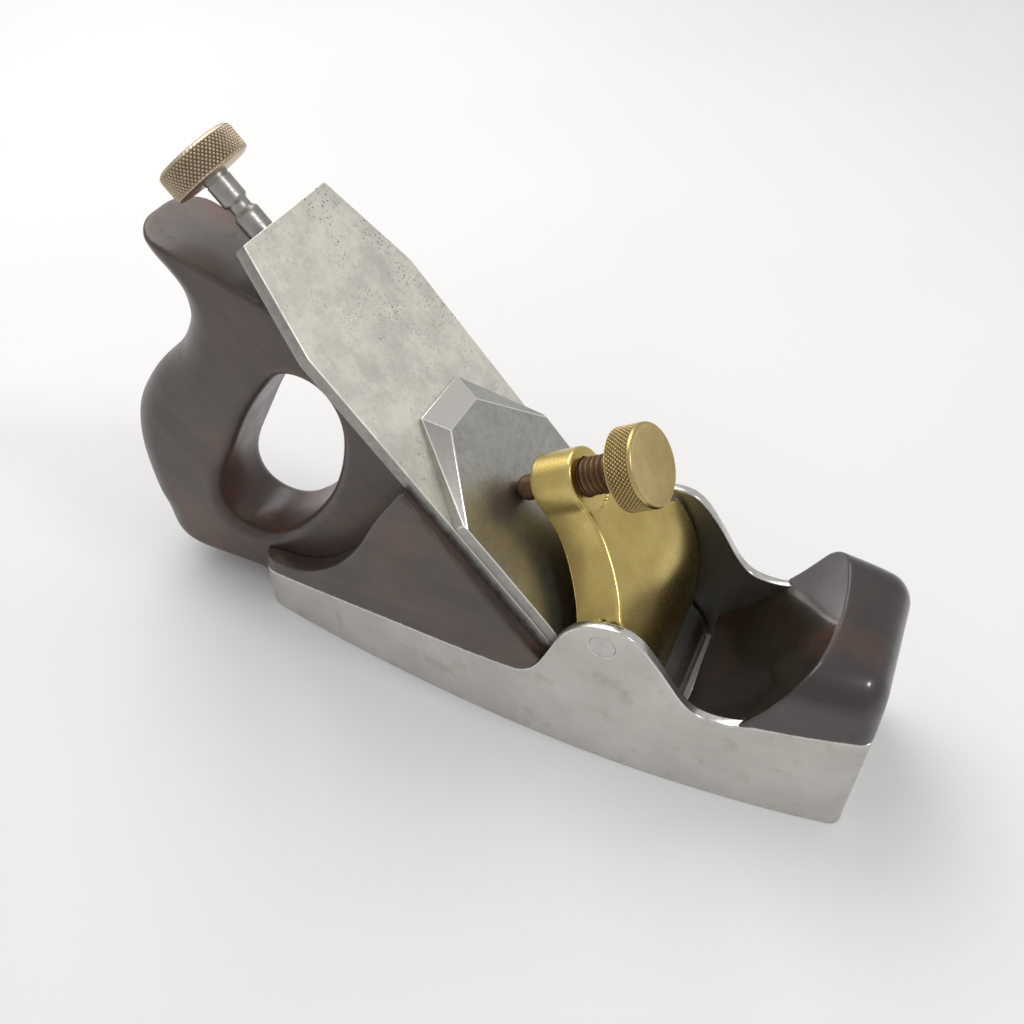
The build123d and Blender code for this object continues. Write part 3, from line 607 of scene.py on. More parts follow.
def cap_iron_steel():
    m = Mat("cap_iron_steel")
    along = m.map(m.co, (1, 1, 1), rot=(0, TH, 0))
    lines = m.noise(1.0, 5, 0.6, m.map(along, (0.06, 3.4, 1.0)))
    cloud = m.noise(0.07, 5, 0.6)
    mott = m.noise(0.5, 5, 0.7)
    col = m.mix(m.maprange(cloud, 0.3, 0.7, 0, 1), (0.38, 0.37, 0.345), (0.50, 0.49, 0.455))
    col = m.mix(m.maprange(mott, 0.45, 0.8, 0, 0.6), col, (0.24, 0.225, 0.20))
    # painted shade and painted reflection: the facet facing the near side is painted dark, the facet facing up the bed
    # bright, the others a little brighter
    facet_painted_light = m.attr("facet_painted_light")
    col = m.mix(m.maprange(facet_painted_light, 0.0, 1.0, 0.0, 0.75, True), col, (0.13, 0.125, 0.115))
    col = m.mix(m.maprange(facet_painted_light, 0.0, -1.0, 0.0, 0.8, True), col, (0.72, 0.70, 0.65))
    edge = m.attr("edge")
    col = m.mix(edge, col, (0.80, 0.79, 0.76))
    rough = m.math("SUBTRACT", m.maprange(lines, 0.25, 0.75, 0.28, 0.42), m.math("MULTIPLY", edge, 0.1))
    nb = m.bump(lines, 0.2, 0.07)
    nb = m.bump(mott, 0.15, 0.1, nb)
    return m.set(color=col, rough=rough, metal=1.0, normal=nb)


def turned_steel(name, a, b, rough0=0.3, rough1=0.45):
    m = Mat(name)
    fine = m.noise(2.4, 4, 0.6)
    cloud = m.noise(0.25, 5, 0.65)
    col = m.mix(m.maprange(cloud, 0.3, 0.7, 0, 1), a, b)
    col = m.mix(m.maprange(fine, 0.55, 0.8, 0, 0.5), col, tuple(0.45 * x for x in a))
    nb = m.bump(fine, 0.2, 0.08)
    return m.set(color=col, rough=m.maprange(fine, 0.3, 0.7, rough0, rough1), metal=1.0, normal=nb)


def brass(name, hi, lo, rough0, rough1, cav=False, wear=0.3, relief=1.0):
    m = Mat(name)
    fine = m.noise(1.6, 5, 0.65)
    cloud = m.noise(0.12, 5, 0.6)
    scr = m.noise(1.0, 4, 0.6, m.map(m.co, (0.3, 5.0, 0.6)))
    col = m.mix(m.maprange(cloud, 0.3, 0.7, 0, 1), hi, lo)
    col = m.mix(m.maprange(fine, 0.52, 0.8, 0, wear), col, tuple(0.5 * x for x in lo))
    rough = m.maprange(fine, 0.3, 0.7, rough0, rough1)
    if cav:
        c = m.attr("cav")
        col = m.mix(m.maprange(c, 0.25, 0.95, 0.0, 0.85), col, (0.12, 0.08, 0.045))
        rough = m.math("ADD", rough, m.math("MULTIPLY", c, 0.3))
    nb = m.bump(fine, 0.12 * relief, 0.1)
    nb = m.bump(scr, 0.10 * relief, 0.06, nb)
    return m.set(color=col, rough=rough, metal=1.0, normal=nb)


def rosewood(name, tilt, shift, base_tone, warm, sheen=0.3, gloss=0.2):
    m = Mat(name)
    base = m.map(m.co, (1, 1, 1), rot=(0, tilt, 0), loc=shift)
    streak = m.noise(1.0, 6, 0.6, m.map(base, (0.03, 0.22, 0.22)))
    broad = m.noise(0.045, 5, 0.62, m.map(base, (0.5, 1.0, 1.0)))
    fine = m.noise(1.0, 4, 0.6, m.map(base, (0.10, 2.4, 2.4)))
    pores = m.noise(1.0, 3, 0.6, m.map(base, (0.16, 4.6, 4.6)))
    pore = m.ramp(pores, [(0.0, 0.0), (0.62, 0.0), (0.70, 1.0)])
    patch = m.noise(0.03, 4, 0.6, m.map(m.co, (1, 1, 1), loc=(7 + shift[0], 31, 3 + shift[2])))
    t = base_tone
    lo, mid, hi = tuple(0.66 * x for x in t), t, (1.35 * t[0], 1.3 * t[1], 1.3 * t[2])
    tone = m.math("ADD", m.math("MULTIPLY", streak, 0.4), m.math("MULTIPLY", broad, 0.6))
    col = m.ramp(tone, [(0.32, lo), (0.50, mid), (0.68, hi)])
    col = m.mix(m.maprange(fine, 0.5, 0.8, 0.0, 0.22), col, tuple(0.4 * x for x in t))
    col = m.mix(m.maprange(patch, 0.48, 0.64, 0.0, warm, True), col, (2.3 * t[0], 1.35 * t[1], 0.95 * t[2]))
    col = m.mix(m.math("MULTIPLY", pore, 0.45), col, tuple(0.2 * x for x in t))
    dings = m.ramp(m.noise(0.13, 3, 0.55, m.map(m.co, (1, 1, 1), loc=(13, 5, 2))), [(0.0, 0.0), (0.66, 0.0), (0.74, 1.0)])
    scuffs = m.ramp(m.noise(1.0, 3, 0.5, m.map(m.co, (0.5, 2.2, 0.5), rot=(0.3, 0.5, 0.7))), [(0.0, 0.0), (0.72, 0.0), (0.78, 1.0)])
    col = m.mix(m.math("MULTIPLY", scuffs, 0.25), col, (0.22, 0.18, 0.15))
    rough = m.maprange(m.noise(0.07, 4, 0.6), 0.3, 0.7, 0.30, 0.46)
    rough = m.math("ADD", rough, m.math("MULTIPLY", dings, 0.14))
    nb = m.bump(pore, 0.22, -0.06)
    nb = m.bump(fine, 0.05, 0.05, nb)
    nb = m.bump(dings, 0.2, -0.2, nb)
    return m.set(color=col, rough=rough, metal=0.0, normal=nb, spec=0.5, coat=sheen, coat_rough=gloss)


M_STEEL = body_steel()
M_IRON = iron_steel()
M_CAP = cap_iron_steel()
M_SPINDLE = turned_steel("spindle_steel", (0.31, 0.30, 0.28), (0.41, 0.395, 0.37))
M_PIN = turned_steel("pin_steel", (0.56, 0.545, 0.515), (0.64, 0.625, 0.595), 0.36, 0.48)
M_SCREW = turned_steel("screw_steel", (0.42, 0.41, 0.39), (0.52, 0.51, 0.49))
M_BRASS = brass("brass", (0.62, 0.44, 0.17), (0.50, 0.35, 0.13), 0.34, 0.5)
M_KNOB = brass("knob_brass", (0.58, 0.45, 0.20), (0.46, 0.34, 0.14), 0.24, 0.40, cav=True)
M_GUN = brass("gunmetal", (0.66, 0.52, 0.20), (0.56, 0.42, 0.14), 0.24, 0.34, wear=0.10, relief=0.25)
M_BRONZE = brass("screw_bronze", (0.24, 0.15, 0.08), (0.15, 0.09, 0.05), 0.35, 0.5, cav=True)
M_AKNOB = brass("knob_brass_dull", (0.60, 0.50, 0.37), (0.47, 0.385, 0.27), 0.30, 0.46, cav=True)
# lit and shaded copies of one rosewood: the bun's base tone is about a third of the cheeks' and tote's, painted shade
# for its darker faces, and the cheeks' lighter tone is painted reflection of the bright floor
M_ROSE_SHADED = rosewood("rosewood", 0.0, (-28, 0, 6), (0.022, 0.015, 0.012), 1.0, 0.6, 0.10)
M_CHEEK = rosewood("rosewood_cheek", 0.12, (11, 4, 2), (0.068, 0.048, 0.040), 0.3, 0.2)
M_TOTE = rosewood("rosewood_tote", -0.85, (40, 10, 5), (0.064, 0.044, 0.037), 0.6, 0.15)

# ------------------------------------------------------------------ side plates
INNER_R = 5.0


def plate_path():
    """Outer line of the right side plate in plan from heel to toe, at y < 0, with its inward normal."""
    xs = np.linspace(-104.0, 104.0, 1400)
    raw = [(x, -w) for x, w in zip(xs, width(xs))]
    raw = np.array(raw)
    hr, tr = 8.0, 3.6

    def corner(line, r, at_heel):
        # arc tangent to the end plane and to the side line
        x_end = -104.0 if at_heel else 104.0
        xc = x_end + r if at_heel else x_end - r
        k = np.argmin(abs(line[:, 0] - xc))
        slope = (line[min(k + 5, len(line) - 1), 1] - line[max(k - 5, 0), 1]) / (line[min(k + 5, len(line) - 1), 0] - line[max(k - 5, 0), 0])
        nrm = np.array([slope, -1.0])  # outward
        nrm /= np.linalg.norm(nrm)
        # centre so that the arc touches the line at its tangent point
        yc = line[k, 1]
        for _ in range(30):
            c = np.array([xc, yc])
            d = ((line - c) ** 2).sum(1) ** 0.5
            j = np.argmin(d)
            yc += d[j] * -1 * (d[j] - r) / abs(d[j]) if False else (r - d[j])
        c = np.array([xc, yc])
        d = ((line - c) ** 2).sum(1) ** 0.5
        return c, np.argmin(d)

    c1, j1 = corner(raw, hr, True)
    c2, j2 = corner(raw, tr, False)
    a1 = math.atan2(*(raw[j1] - c1)[::-1])
    a2 = math.atan2(*(raw[j2] - c2)[::-1])
    arc1 = np.array([c1 + hr * np.array([math.cos(a), math.sin(a)]) for a in np.linspace(-math.pi, a1, 60)])
    arc2 = np.array([c2 + tr * np.array([math.cos(a), math.sin(a)]) for a in np.linspace(a2, 0.0, 40)])
    start = np.array([[-104.0, y] for y in np.linspace(-14.0, arc1[0, 1], 12)[:-1]]) if arc1[0, 1] < -14.0 else np.empty((0, 2))
    end = np.array([[104.0, y] for y in np.linspace(arc2[-1, 1], -20.0, 8)[1:]])
    path = np.vstack([start, arc1[:-1], raw[j1:j2 + 1], arc2[1:], end])
    if not len(start):
        path = path[path[:, 1] <= -14.0 + 1e-6] if False else path[np.argmax(path[:, 1] <= -14.0):]
    seg = np.hypot(*np.diff(path, axis=0).T)
    s = np.concatenate([[0], np.cumsum(seg)])
    q = np.linspace(0, s[-1], int(s[-1] / 0.25))
    px, py = np.interp(q, s, path[:, 0]), np.interp(q, s, path[:, 1])
    tx, ty = np.gradient(px, q), np.gradient(py, q)
    ln = np.hypot(tx, ty)
    k = np.ones(9) / 9
    nx, ny = -ty / ln, tx / ln
    nx = np.convolve(np.pad(nx, 4, mode="edge"), k, "valid")
    ny = np.convolve(np.pad(ny, 4, mode="edge"), k, "valid")
    ln = np.hypot(nx, ny)
    return q, px, py, nx / ln, ny / ln


PS, PX, PY, PNX, PNY = plate_path()


def plate(name, sign, cad):
    # loop in (arc length, z): bottom forward, then the top edge back
    bottom = np.stack([np.arange(0, PS[-1], 1.0), np.zeros(len(np.arange(0, PS[-1], 1.0)))], 1)
    bottom = np.vstack([bottom, [[PS[-1], 0.0]]])
    s_top = PS[::2]
    x_top = np.interp(s_top, PS, PX)
    top = np.stack([s_top, side_top(np.clip(x_top, -104, 104))], 1)
    # even spacing along the top edge
    ln = np.concatenate([[0], np.cumsum(np.hypot(*np.diff(top, axis=0).T))])
    q = np.linspace(0, ln[-1], int(ln[-1] / 0.8))
    top = np.stack([np.interp(q, ln, top[:, 0]), np.interp(q, ln, top[:, 1])], 1)
    right = np.stack([np.full(40, PS[-1]), np.linspace(0, top[-1, 1], 42)[1:-1]], 1)
    left = np.stack([np.zeros(16), np.linspace(top[0, 1], 0, 18)[1:-1]], 1)
    loop = np.vstack([bottom, right, top[::-1], left])
    pin = O + 54.0 * U + 21.5 * N
    s_pin = np.interp(pin[0], PX[PX.argsort()], PS[PX.argsort()])
    a = np.linspace(0, 2 * math.pi, 64, endpoint=False)[::-1]
    hole = np.stack([s_pin + 4.0 * np.cos(a), pin[2] + 4.0 * np.sin(a)], 1)

    def at(s, z, depth):
        x, y = np.interp(s, PS, PX), np.interp(s, PS, PY)
        nx, ny = np.interp(s, PS, PNX), np.interp(s, PS, PNY)
        return np.stack([x + nx * depth, (y + ny * depth) * -sign, z * np.ones_like(s)], 1)

    return slab(name, [loop, hole], lambda s, z, d: at(s, z, d), lambda s, z, d: at(s, z, SIDE_T - d), 0.45, M_STEEL, "body", cad, grid=3.0)


side_r = plate("side_plate_right_fine", -1, "side_plate_right")
side_l = plate("side_plate_left_fine", 1, "side_plate_left")


# ------------------------------------------------------------------ wood
def plate_clear(x, y, z, open_heel, open_toe):
    """Positive where the plates are, negative inside the body or above the steel."""
    a = np.abs(y)
    inner = np.maximum(a - (width(x) - SIDE_T), np.maximum(x - (104.0 - SIDE_T), -(x + 104.0 - SIDE_T)))
    above = np.maximum(side_top(np.clip(x, -104, 104)) - z, a - width(x))
    opening = a - (open_toe if open_toe else open_heel)
    opening = np.maximum(opening, np.abs(x) - 104.0)
    return np.minimum(np.minimum(inner, above), opening)


def plan_field(x, y, rh, rt):
    a = np.abs(y) - width(x)
    f = rmax(a, x - 104.0, rt)
    return rmax(f, -104.0 - x, rh)


SCOOP = [(49.0, 6.0), (73.6, 37.5), (86.2, 64.0)]
(sx1, sz1), (sx2, sz2), (sx3, sz3) = SCOOP
sdd = 2 * (sx1 * (sz2 - sz3) + sx2 * (sz3 - sz1) + sx3 * (sz1 - sz2))
SCX = ((sx1**2 + sz1**2) * (sz2 - sz3) + (sx2**2 + sz2**2) * (sz3 - sz1) + (sx3**2 + sz3**2) * (sz1 - sz2)) / sdd
SCZ = ((sx1**2 + sz1**2) * (sx3 - sx2) + (sx2**2 + sz2**2) * (sx1 - sx3) + (sx3**2 + sz3**2) * (sx2 - sx1)) / sdd
SCR = math.hypot(sx1 - SCX, sz1 - SCZ)
BUN_TOP = [(60.0, 63.5), (72.0, 63.6), (80.0, 63.6), (88.0, 63.6), (94.0, 63.4), (99.0, 62.9), (104.0, 62.2), (110.0, 61.0)]
_bun = func_of(BUN_TOP)


def bun_field(x, y, z):
    top = (z - np.interp(x, *_bun)) * 0.97
    side = np.abs(y) - width(x)
    # shoulders rounded over into the top, the nose a little less
    f = rmax(side, top, 10.0)
    f = rmax(f, x - 103.98, 3.6 + 3.6 * smooth(42, 58, z))
    r = np.hypot(x - SCX, z - SCZ)
    barrel = SCR - 7.0 * (np.abs(y) / 36.0) ** 2 - r
    f = rmax(f, barrel, 0.7)
    f = np.maximum(f, MOUTH_X - x)
    f = np.maximum(f, SOLE_T - z)
    return np.maximum(f, plate_clear(x, y, z, 0, 20.0))


carve("front_bun_fine", bun_field, (48.0, -33.0, 5.0), (105.2, 33.0, 65.0), 0.62, M_ROSE_SHADED, "body", "front_bun", sharp=50)

# tote
back = spline(TOTE_BACK, 260)
tote_loop = np.vstack([back, [(-104.0, 7.9), (-104.0, SOLE_T)], [(36.0, SOLE_T - 0.0)], [(60.0, 20.0)], [(-60.0, 150.0)], [(-127.0, 152.0)]])
hole_loop = spline(HOLE, 300, closed=True)
F_TOTE = Field(tote_loop)
F_HOLE = Field(hole_loop)
HORN = spline([(-142.0, 145.0), (-128.0, 140.3), (-120.0, 137.6), (-106.0, 132.8), (-97.4, 129.9), (-86.7, 126.3), (-70.2, 121.0), (-55.0, 116.5)], 300)


def bed_n(x, z):
    return (x - EDGE_X) * N[0] + z * N[2]


def tote_field(x, y, z):
    n = bed_n(x, z)
    depth = -IRON_T - n
    r = 1.0 + 10.5 * smooth(10.0, 34.0, depth)
    tail = smooth(26.0, 9.0, z)
    r = r * (1 - tail) + 3.0 * tail
    low = smooth(30.0, 20.0, z) * smooth(-112.0, -100.0, x)
    r = r * (1 - low) + 0.5 * low
    a = np.abs(y) - 14.0
    f = rmax(F_TOTE(x, z), a, r)
    rh = 1.5 + 2.6 * smooth(6.0, 24.0, depth)
    f = rmax(f, -F_HOLE(x, z), rh)
    top = z - np.interp(x, HORN[:, 0], HORN[:, 1])
    f = rmax(f, top * 0.97, 0.9)
    f = rmax(f, n + IRON_T, 0.4)
    # groove of the adjuster
    u = -(x - EDGE_X) * math.cos(TH) + z * math.sin(TH)
    g = np.maximum(np.maximum(np.abs(y) - 7.0, 88.0 - u), -(n + IRON_T + 11.0))
    g2 = np.maximum(np.hypot(np.maximum(np.abs(u - 81.6) - 1.6, 0.0), y) - 12.4, -(n + IRON_T + 11.0))
    g3 = np.maximum(np.maximum(np.abs(y) - 6.8, np.abs(u - 118.0) - 18.0), -(n + IRON_T + 13.2))
    return np.maximum(f, -np.minimum(np.minimum(g, g2), g3))


carve("tote_fine", tote_field, (-158.0, -15.0, 5.0), (37.0, 15.0, 142.0), 0.8, M_TOTE, "body", "tote", sharp=50)


def cheek_field(x, y, z):
    a = np.abs(y)
    f = np.maximum(plan_field(x, y, 8.0, 3.6), 14.0 - a)
    dish = 2.2 * smooth(26.0, 15.0, a) * smooth(-48.0, -62.0, x)
    slope = 1.0 / np.sqrt(1 + np.interp(x, _cheek[0], np.gradient(_cheek[1], _cheek[0])) ** 2)
    f = rmax(f, (z - (np.interp(x, *_cheek) - dish)) * slope, 0.9)
    f = rmax(f, bed_n(x, z) + IRON_T, 0.5)
    f = np.maximum(f, SOLE_T - z)
    return np.maximum(f, plate_clear(x, y, z, 14.0, 0))


def right_only(fn):
    return lambda x, y, z: np.maximum(fn(x, y, z), y + 14.0)


def left_only(fn):
    return lambda x, y, z: np.maximum(fn(x, y, z), 14.0 - y)


carve("rear_cheek_right_fine", right_only(cheek_field), (-104.8, -33.0, 5.2), (36.0, -13.2, 88.0), 0.7, M_CHEEK, "body", "rear_cheek_right", sharp=50)
carve("rear_cheek_left_fine", left_only(cheek_field), (-104.8, 13.2, 5.2), (36.0, 33.0, 88.0), 0.7, M_CHEEK, "body", "rear_cheek_left", sharp=50)


# ------------------------------------------------------------------ iron and cap iron
def bed_pt(u, v, n):
    u, v, n = np.broadcast_arrays(np.asarray(u, float), np.asarray(v, float), np.asarray(n, float))
    return O + u[..., None] * U + v[..., None] * np.array([0, 1.0, 0]) + n[..., None] * N


def resample(points, step, closed=True):
    p = np.asarray(points, float)
    if closed:
        p = np.vstack([p, p[:1]])
    out = []
    for a, b in zip(p, p[1:]):
        n = max(1, int(np.hypot(*(b - a)) / step))
        for i in range(n):
            out.append(a + (b - a) * i / n)
    return np.array(out)


def round_poly(points, radii, n=6):
    """Closed polygon with its corners turned into short arcs."""
    p = [np.array(q, float) for q in points]
    out = []
    m = len(p)
    for i in range(m):
        a, b, c = p[i - 1], p[i], p[(i + 1) % m]
        r = radii[i]
        if not r:
            out.append(b)
            continue
        d1, d2 = (a - b) / np.linalg.norm(a - b), (c - b) / np.linalg.norm(c - b)
        half = math.acos(np.clip(d1 @ d2, -1, 1)) / 2
        t = r / math.tan(half)
        s, e = b + d1 * t, b + d2 * t
        for k in range(n + 1):
            w = k / n
            out.append((1 - w) ** 2 * s + 2 * w * (1 - w) * b + w * w * e)
    return np.array(out)


iron_poly = round_poly([(9.8, -28.575), (165.5, -28.575), (198.4, -20.0), (198.4, 20.0), (165.5, 28.575), (9.8, 28.575)], [0, 3.0, 1.0, 1.0, 3.0, 0])
iron_loop = resample(iron_poly, 2.0)
slot_pts = []
for a in np.linspace(-math.pi / 2, math.pi / 2, 12):
    slot_pts.append((66.0 - 5.7 * math.cos(a), -5.7 * math.sin(a)))
for a in np.linspace(-math.radians(140), math.radians(140), 30):
    slot_pts.append((108.0 + 8.9 * math.cos(a), 8.9 * math.sin(a)))
slot_loop = np.array(slot_pts)
area = 0.5 * np.sum(slot_loop[:, 0] * np.roll(slot_loop[:, 1], -1) - np.roll(slot_loop[:, 0], -1) * slot_loop[:, 1])
if area > 0:
    slot_loop = slot_loop[::-1]


def askew(u, v, n):
    """A point of the iron, which lies a little askew about a point near its edge."""
    c, s = math.cos(SKEW), math.sin(SKEW)
    return bed_pt(20 + (u - 20) * c - v * s, (u - 20) * s + v * c, n)


SKEW = math.radians(1.15)
slab("cutting_iron_fine", [iron_loop, slot_loop], lambda u, v, d: askew(u, v, -d), lambda u, v, d: askew(u, v, -IRON_T + d), 0.35, M_IRON, "iron", "cutting_iron", grid=5.0, wall=0.0)

# the ground bevel at the cutting edge
bm_v = []
bm_f = []
vs = np.linspace(-28.575, 28.575, 40)
sec = [(9.85, -0.05), (0.4, -0.05), (0.55, -0.2), (9.8, -IRON_T + 0.05), (9.85, -IRON_T + 0.05)]
for v in vs:
    for u_, n_ in sec:
        p = askew(u_, v, n_)
        # the edge itself is ground square to the sole
        bm_v.append(bed_pt(u_, p[1], n_) if u_ < 1 else p)
k = len(sec)
for i in range(len(vs) - 1):
    for j in range(k):
        a, b = i * k + j, i * k + (j + 1) % k
        bm_f.append([a, b, b + k, a + k])
bm_f.append(list(range(k))[::-1])
bm_f.append([(len(vs) - 1) * k + j for j in range(k)])
bevel = to_object("cutting_iron_bevel", np.array(bm_v), bm_f, M_IRON, "iron", None, smooth_shade=False, attrs={"edge": [0.0] * len(bm_v)})


def cap_iron_fine():
    half, u1, tip, u2, tip_in, u3, rim = 28.3, 102.5, 11.3, 131.4, 8.2, 123.3, 1.1
    # where the clipped bevel meets the side, on the upper face
    p0, p1, p2 = np.array([tip, u2, rim]), np.array([tip_in, u3, CAP_T]), np.array([half, u1, CAP_T - 0.5])
    nv = np.cross(p1 - p0, p2 - p0)
    us = u1 - (nv[2] * 0.5) / nv[1]
    bm = bmesh.new()

    def v(vv, uu, nn):
        return bm.verts.new((askew(uu, vv, nn) / 1000.0).tolist())

    nose = [(2.6, 0.02), (2.6, 0.4), (2.9, 1.2), (4.0, 2.2), (5.6, 3.2), (8.0, 4.0), (11.1, CAP_T)]
    left, right = [v(-half, a, b) for a, b in nose], [v(half, a, b) for a, b in nose]
    bl, br, tl, tr = v(-half, u1, 0.02), v(half, u1, 0.02), v(-tip, u2, 0.02), v(tip, u2, 0.02)
    shl, shr = v(-half, u1, CAP_T - 0.5), v(half, u1, CAP_T - 0.5)
    tol, tor = v(-tip, u2, rim), v(tip, u2, rim)
    til, tir = v(-tip_in, u3, CAP_T), v(tip_in, u3, CAP_T)
    sl, sr = v(-half, us, CAP_T), v(half, us, CAP_T)
    f = bm.faces.new
    f([left[0], bl, tl, tr, br, right[0]])
    f([left[-1], right[-1], sr, tir, til, sl])
    for i in range(len(nose) - 1):
        f([left[i], right[i], right[i + 1], left[i + 1]])
    f([til, tir, tor, tol])
    f([sl, til, tol, shl])
    f([tir, sr, shr, tor])
    f([tl, tr, tor, tol])
    f([bl, tl, tol, shl])
    f([br, tr, tor, shr])
    f([*left, sl, shl, bl])
    f([*right, sr, shr, br])
    bmesh.ops.recalc_face_normals(bm, faces=bm.faces)
    me = bpy.data.meshes.new("cap_iron_fine")
    bm.to_mesh(me)
    bm.free()
    ob = bpy.data.objects.new("cap_iron_fine", me)
    bpy.context.scene.collection.objects.link(ob)
    mod = ob.modifiers.new("edge", "BEVEL")
    mod.width = 0.0003
    mod.segments = 3
    mod.limit_method = "ANGLE"
    mod.angle_limit = math.radians(9)
    dg = bpy.context.evaluated_depsgraph_get()
    me2 = bpy.data.meshes.new_from_object(ob.evaluated_get(dg))
    ob.modifiers.clear()
    ob.data = me2
    # a narrow border round each broad face, so that the bright arrises stay thin
    bm = bmesh.new()
    bm.from_mesh(me2)
    broad = [fa for fa in bm.faces if fa.calc_area() > 2.0e-5]
    bmesh.ops.inset_individual(bm, faces=broad, thickness=0.0002)
    bmesh.ops.recalc_face_normals(bm, faces=bm.faces)
    inside = {v.index for fa in bm.faces if fa.calc_area() > 2.0e-5 for v in fa.verts} if bm.verts.index_update() is None else set()
    bm.to_mesh(me2)
    bm.free()
    worn = np.ones(len(me2.vertices), np.float32)
    worn[sorted(inside)] = 0.0
    top = np.array([(np.array(q.co) * 1000.0 - O) @ N for q in me2.vertices])
    worn *= top > 0.5
    at = me2.attributes.new("edge", "FLOAT", "POINT")
    at.data.foreach_set("value", worn)
    # painted shade and painted highlight per bevel facet: 1 for the near-side facet (dark), -1 for the upward facet
    # (bright), -0.35 for the others
    facet_painted_light = np.zeros(len(me2.vertices), np.float32)
    for po in me2.polygons:
        nn = np.array(po.normal)
        if po.area > 2.0e-5 and 0.2 < nn @ N < 0.97 and top[list(po.vertices)].min() > 0.4:
            facet_painted_light[list(po.vertices)] = 1.0 if nn[1] < -0.2 else (-1.0 if nn @ U > 0.15 and abs(nn[1]) < 0.2 else -0.35)
    at = me2.attributes.new("facet_painted_light", "FLOAT", "POINT")
    at.data.foreach_set("value", facet_painted_light)
    me2.materials.append(M_CAP)
    me2.polygons.foreach_set("use_smooth", np.ones(len(me2.polygons), bool))
    me2.set_sharp_from_angle(angle=math.radians(28))
    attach(ob, "iron")
    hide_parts("cap_iron")
    return ob


cap_iron_fine()

# ------------------------------------------------------------------ lever cap
LC_FRONT = [(17.4, 6.2), (22.0, 10.2), (30.0, 17.2), (40.0, 23.6), (50.0, 27.2), (60.0, 28.2), (74.0, 27.8), (88.0, 27.6), (101.0, 27.6)]
LC_UNDER = [(25.5, CAP_T + 0.05), (30.0, 6.4), (37.0, 8.8), (46.0, 10.2), (58.0, 11.0), (66.0, 11.5), (74.0, 12.0), (86.0, 12.8), (101.0, 13.2)]
lc_loop = np.vstack([spline(LC_FRONT, 160), spline(LC_UNDER, 140)[::-1], [(19.4, CAP_T + 0.05), (17.4, 5.0)]])
lc_plan_half = [(54.5, 28.5), (56.6, 27.8), (59.5, 24.4), (64.1, 19.0), (69.8, 14.2), (75.0, 10.9), (80.0, 9.0), (86.0, 8.2), (92.0, 8.0)]
half = spline(lc_plan_half, 120)
lc_plan = np.vstack([half, half[::-1] * [1, -1], [(10.0, -28.5), (10.0, 28.5)]])
F_LC = Field(lc_loop, 0.25)
F_LCP = Field(lc_plan, 0.3)
PIN = O + 54.0 * U + 21.5 * N


def lever_field(x, y, z):
    px = x - EDGE_X
    u = px * U[0] + z * U[2]
    n = px * N[0] + z * N[2]
    f = rmax(F_LC(u, n), F_LCP(u, y), 1.2)
    # boss round the screw
    qx, qz = x - FOOT[0], z - FOOT[2]
    s = qx * D[0] + qz * D[2]
    r = np.sqrt(np.maximum((qx - s * D[0]) ** 2 + (qz - s * D[2]) ** 2 + y**2, 1e-9))
    boss = rmax(r - 9.2, np.maximum(10.5 - s, s - 25.0), 0.9)
    f = rmin(f, boss, 1.4)
    f = np.maximum(f, np.maximum(10.5 - s, s - 25.05) * (r < 10.4) - 1e3 * (r >= 10.4))
    f = np.maximum(f, 5.85 - r)
    pr = np.hypot(x - PIN[0], z - PIN[2])
    return np.maximum(f, 4.05 - pr)


carve("lever_cap_fine", lever_field, (-14.0, -29.4, 14.0), (46.0, 29.4, 97.0), 0.5, M_GUN, "lever_cap", "lever_cap", sharp=42)


# ------------------------------------------------------------------ turned pieces
def tri(x):
    return np.abs((x % 1.0) - 0.5) * 2


def knurled(s0, s1, count, pitch, depth):
    """Diamond knurl between two stations; the second value marks the valleys."""
    def fn(s, phi, r):
        a = phi * count / (2 * math.pi)
        b = (s - s0) / pitch
        v = np.minimum(tri(a + b), tri(a - b))
        v = np.clip(v * 1.7, 0, 1)
        on = smooth(s0 - 0.05, s0 + 0.25, s) * (1 - smooth(s1 - 0.25, s1 + 0.05, s))
        valley = (1 - v) * on
        return r - depth * valley, valley
    return fn


def threaded(s0, s1, pitch, depth, taper=1.0):
    def fn(s, phi, r):
        t = tri(s / pitch - phi / (2 * math.pi))
        on = smooth(s0, s0 + taper, s) * (1 - smooth(s1 - taper, s1, s))
        v = np.clip(1.15 - 1.3 * t, 0, 1) * on
        return r - depth * v, v
    return fn


def stations(points, step):
    out = []
    for (a, ra), (b, rb) in zip(points, points[1:]):
        n = max(1, int(math.hypot(b - a, rb - ra) / step))
        out += [(a + (b - a) * i / n, ra + (rb - ra) * i / n) for i in range(n)]
    return out + [points[-1]]


LK, LR = 9.4, 12.35
lk_prof = [(0.0, 4.3), (0.0, LR - 1.1), (0.25, LR - 0.75), (0.8, LR)] + stations([(0.85, LR), (LK - 1.1, LR)], 0.125) + [(LK - 0.9, LR), (LK - 0.3, LR - 0.25), (LK, LR - 0.55), (LK, LR - 0.8), (LK - 0.15, LR - 1.2), (LK - 0.3, LR - 2.2), (LK - 0.42, 7.0), (LK - 0.5, 3.0), (LK - 0.52, 0.05)]
lathe("lever_cap_knob_fine", lk_prof, FOOT + 37.7 * D, D, M_KNOB, "lever_knob", "lever_cap_knob", n=720, radius=knurled(0.9, LK - 1.2, 60, 1.45, 0.42), sharp=50)
ls_prof = [(0.3, 0.05), (0.4, 1.6), (0.9, 2.8), (1.8, 3.6), (3.0, 3.95)] + stations([(3.2, 3.95), (8.4, 3.95)], 0.4) + stations([(8.6, 4.2), (9.4, 5.7)], 0.3) + stations([(9.6, 5.75), (37.6, 5.75)], 0.12) + [(37.7, 5.6), (37.7, 4.15), (43.0, 4.15), (43.0, 0.05)]
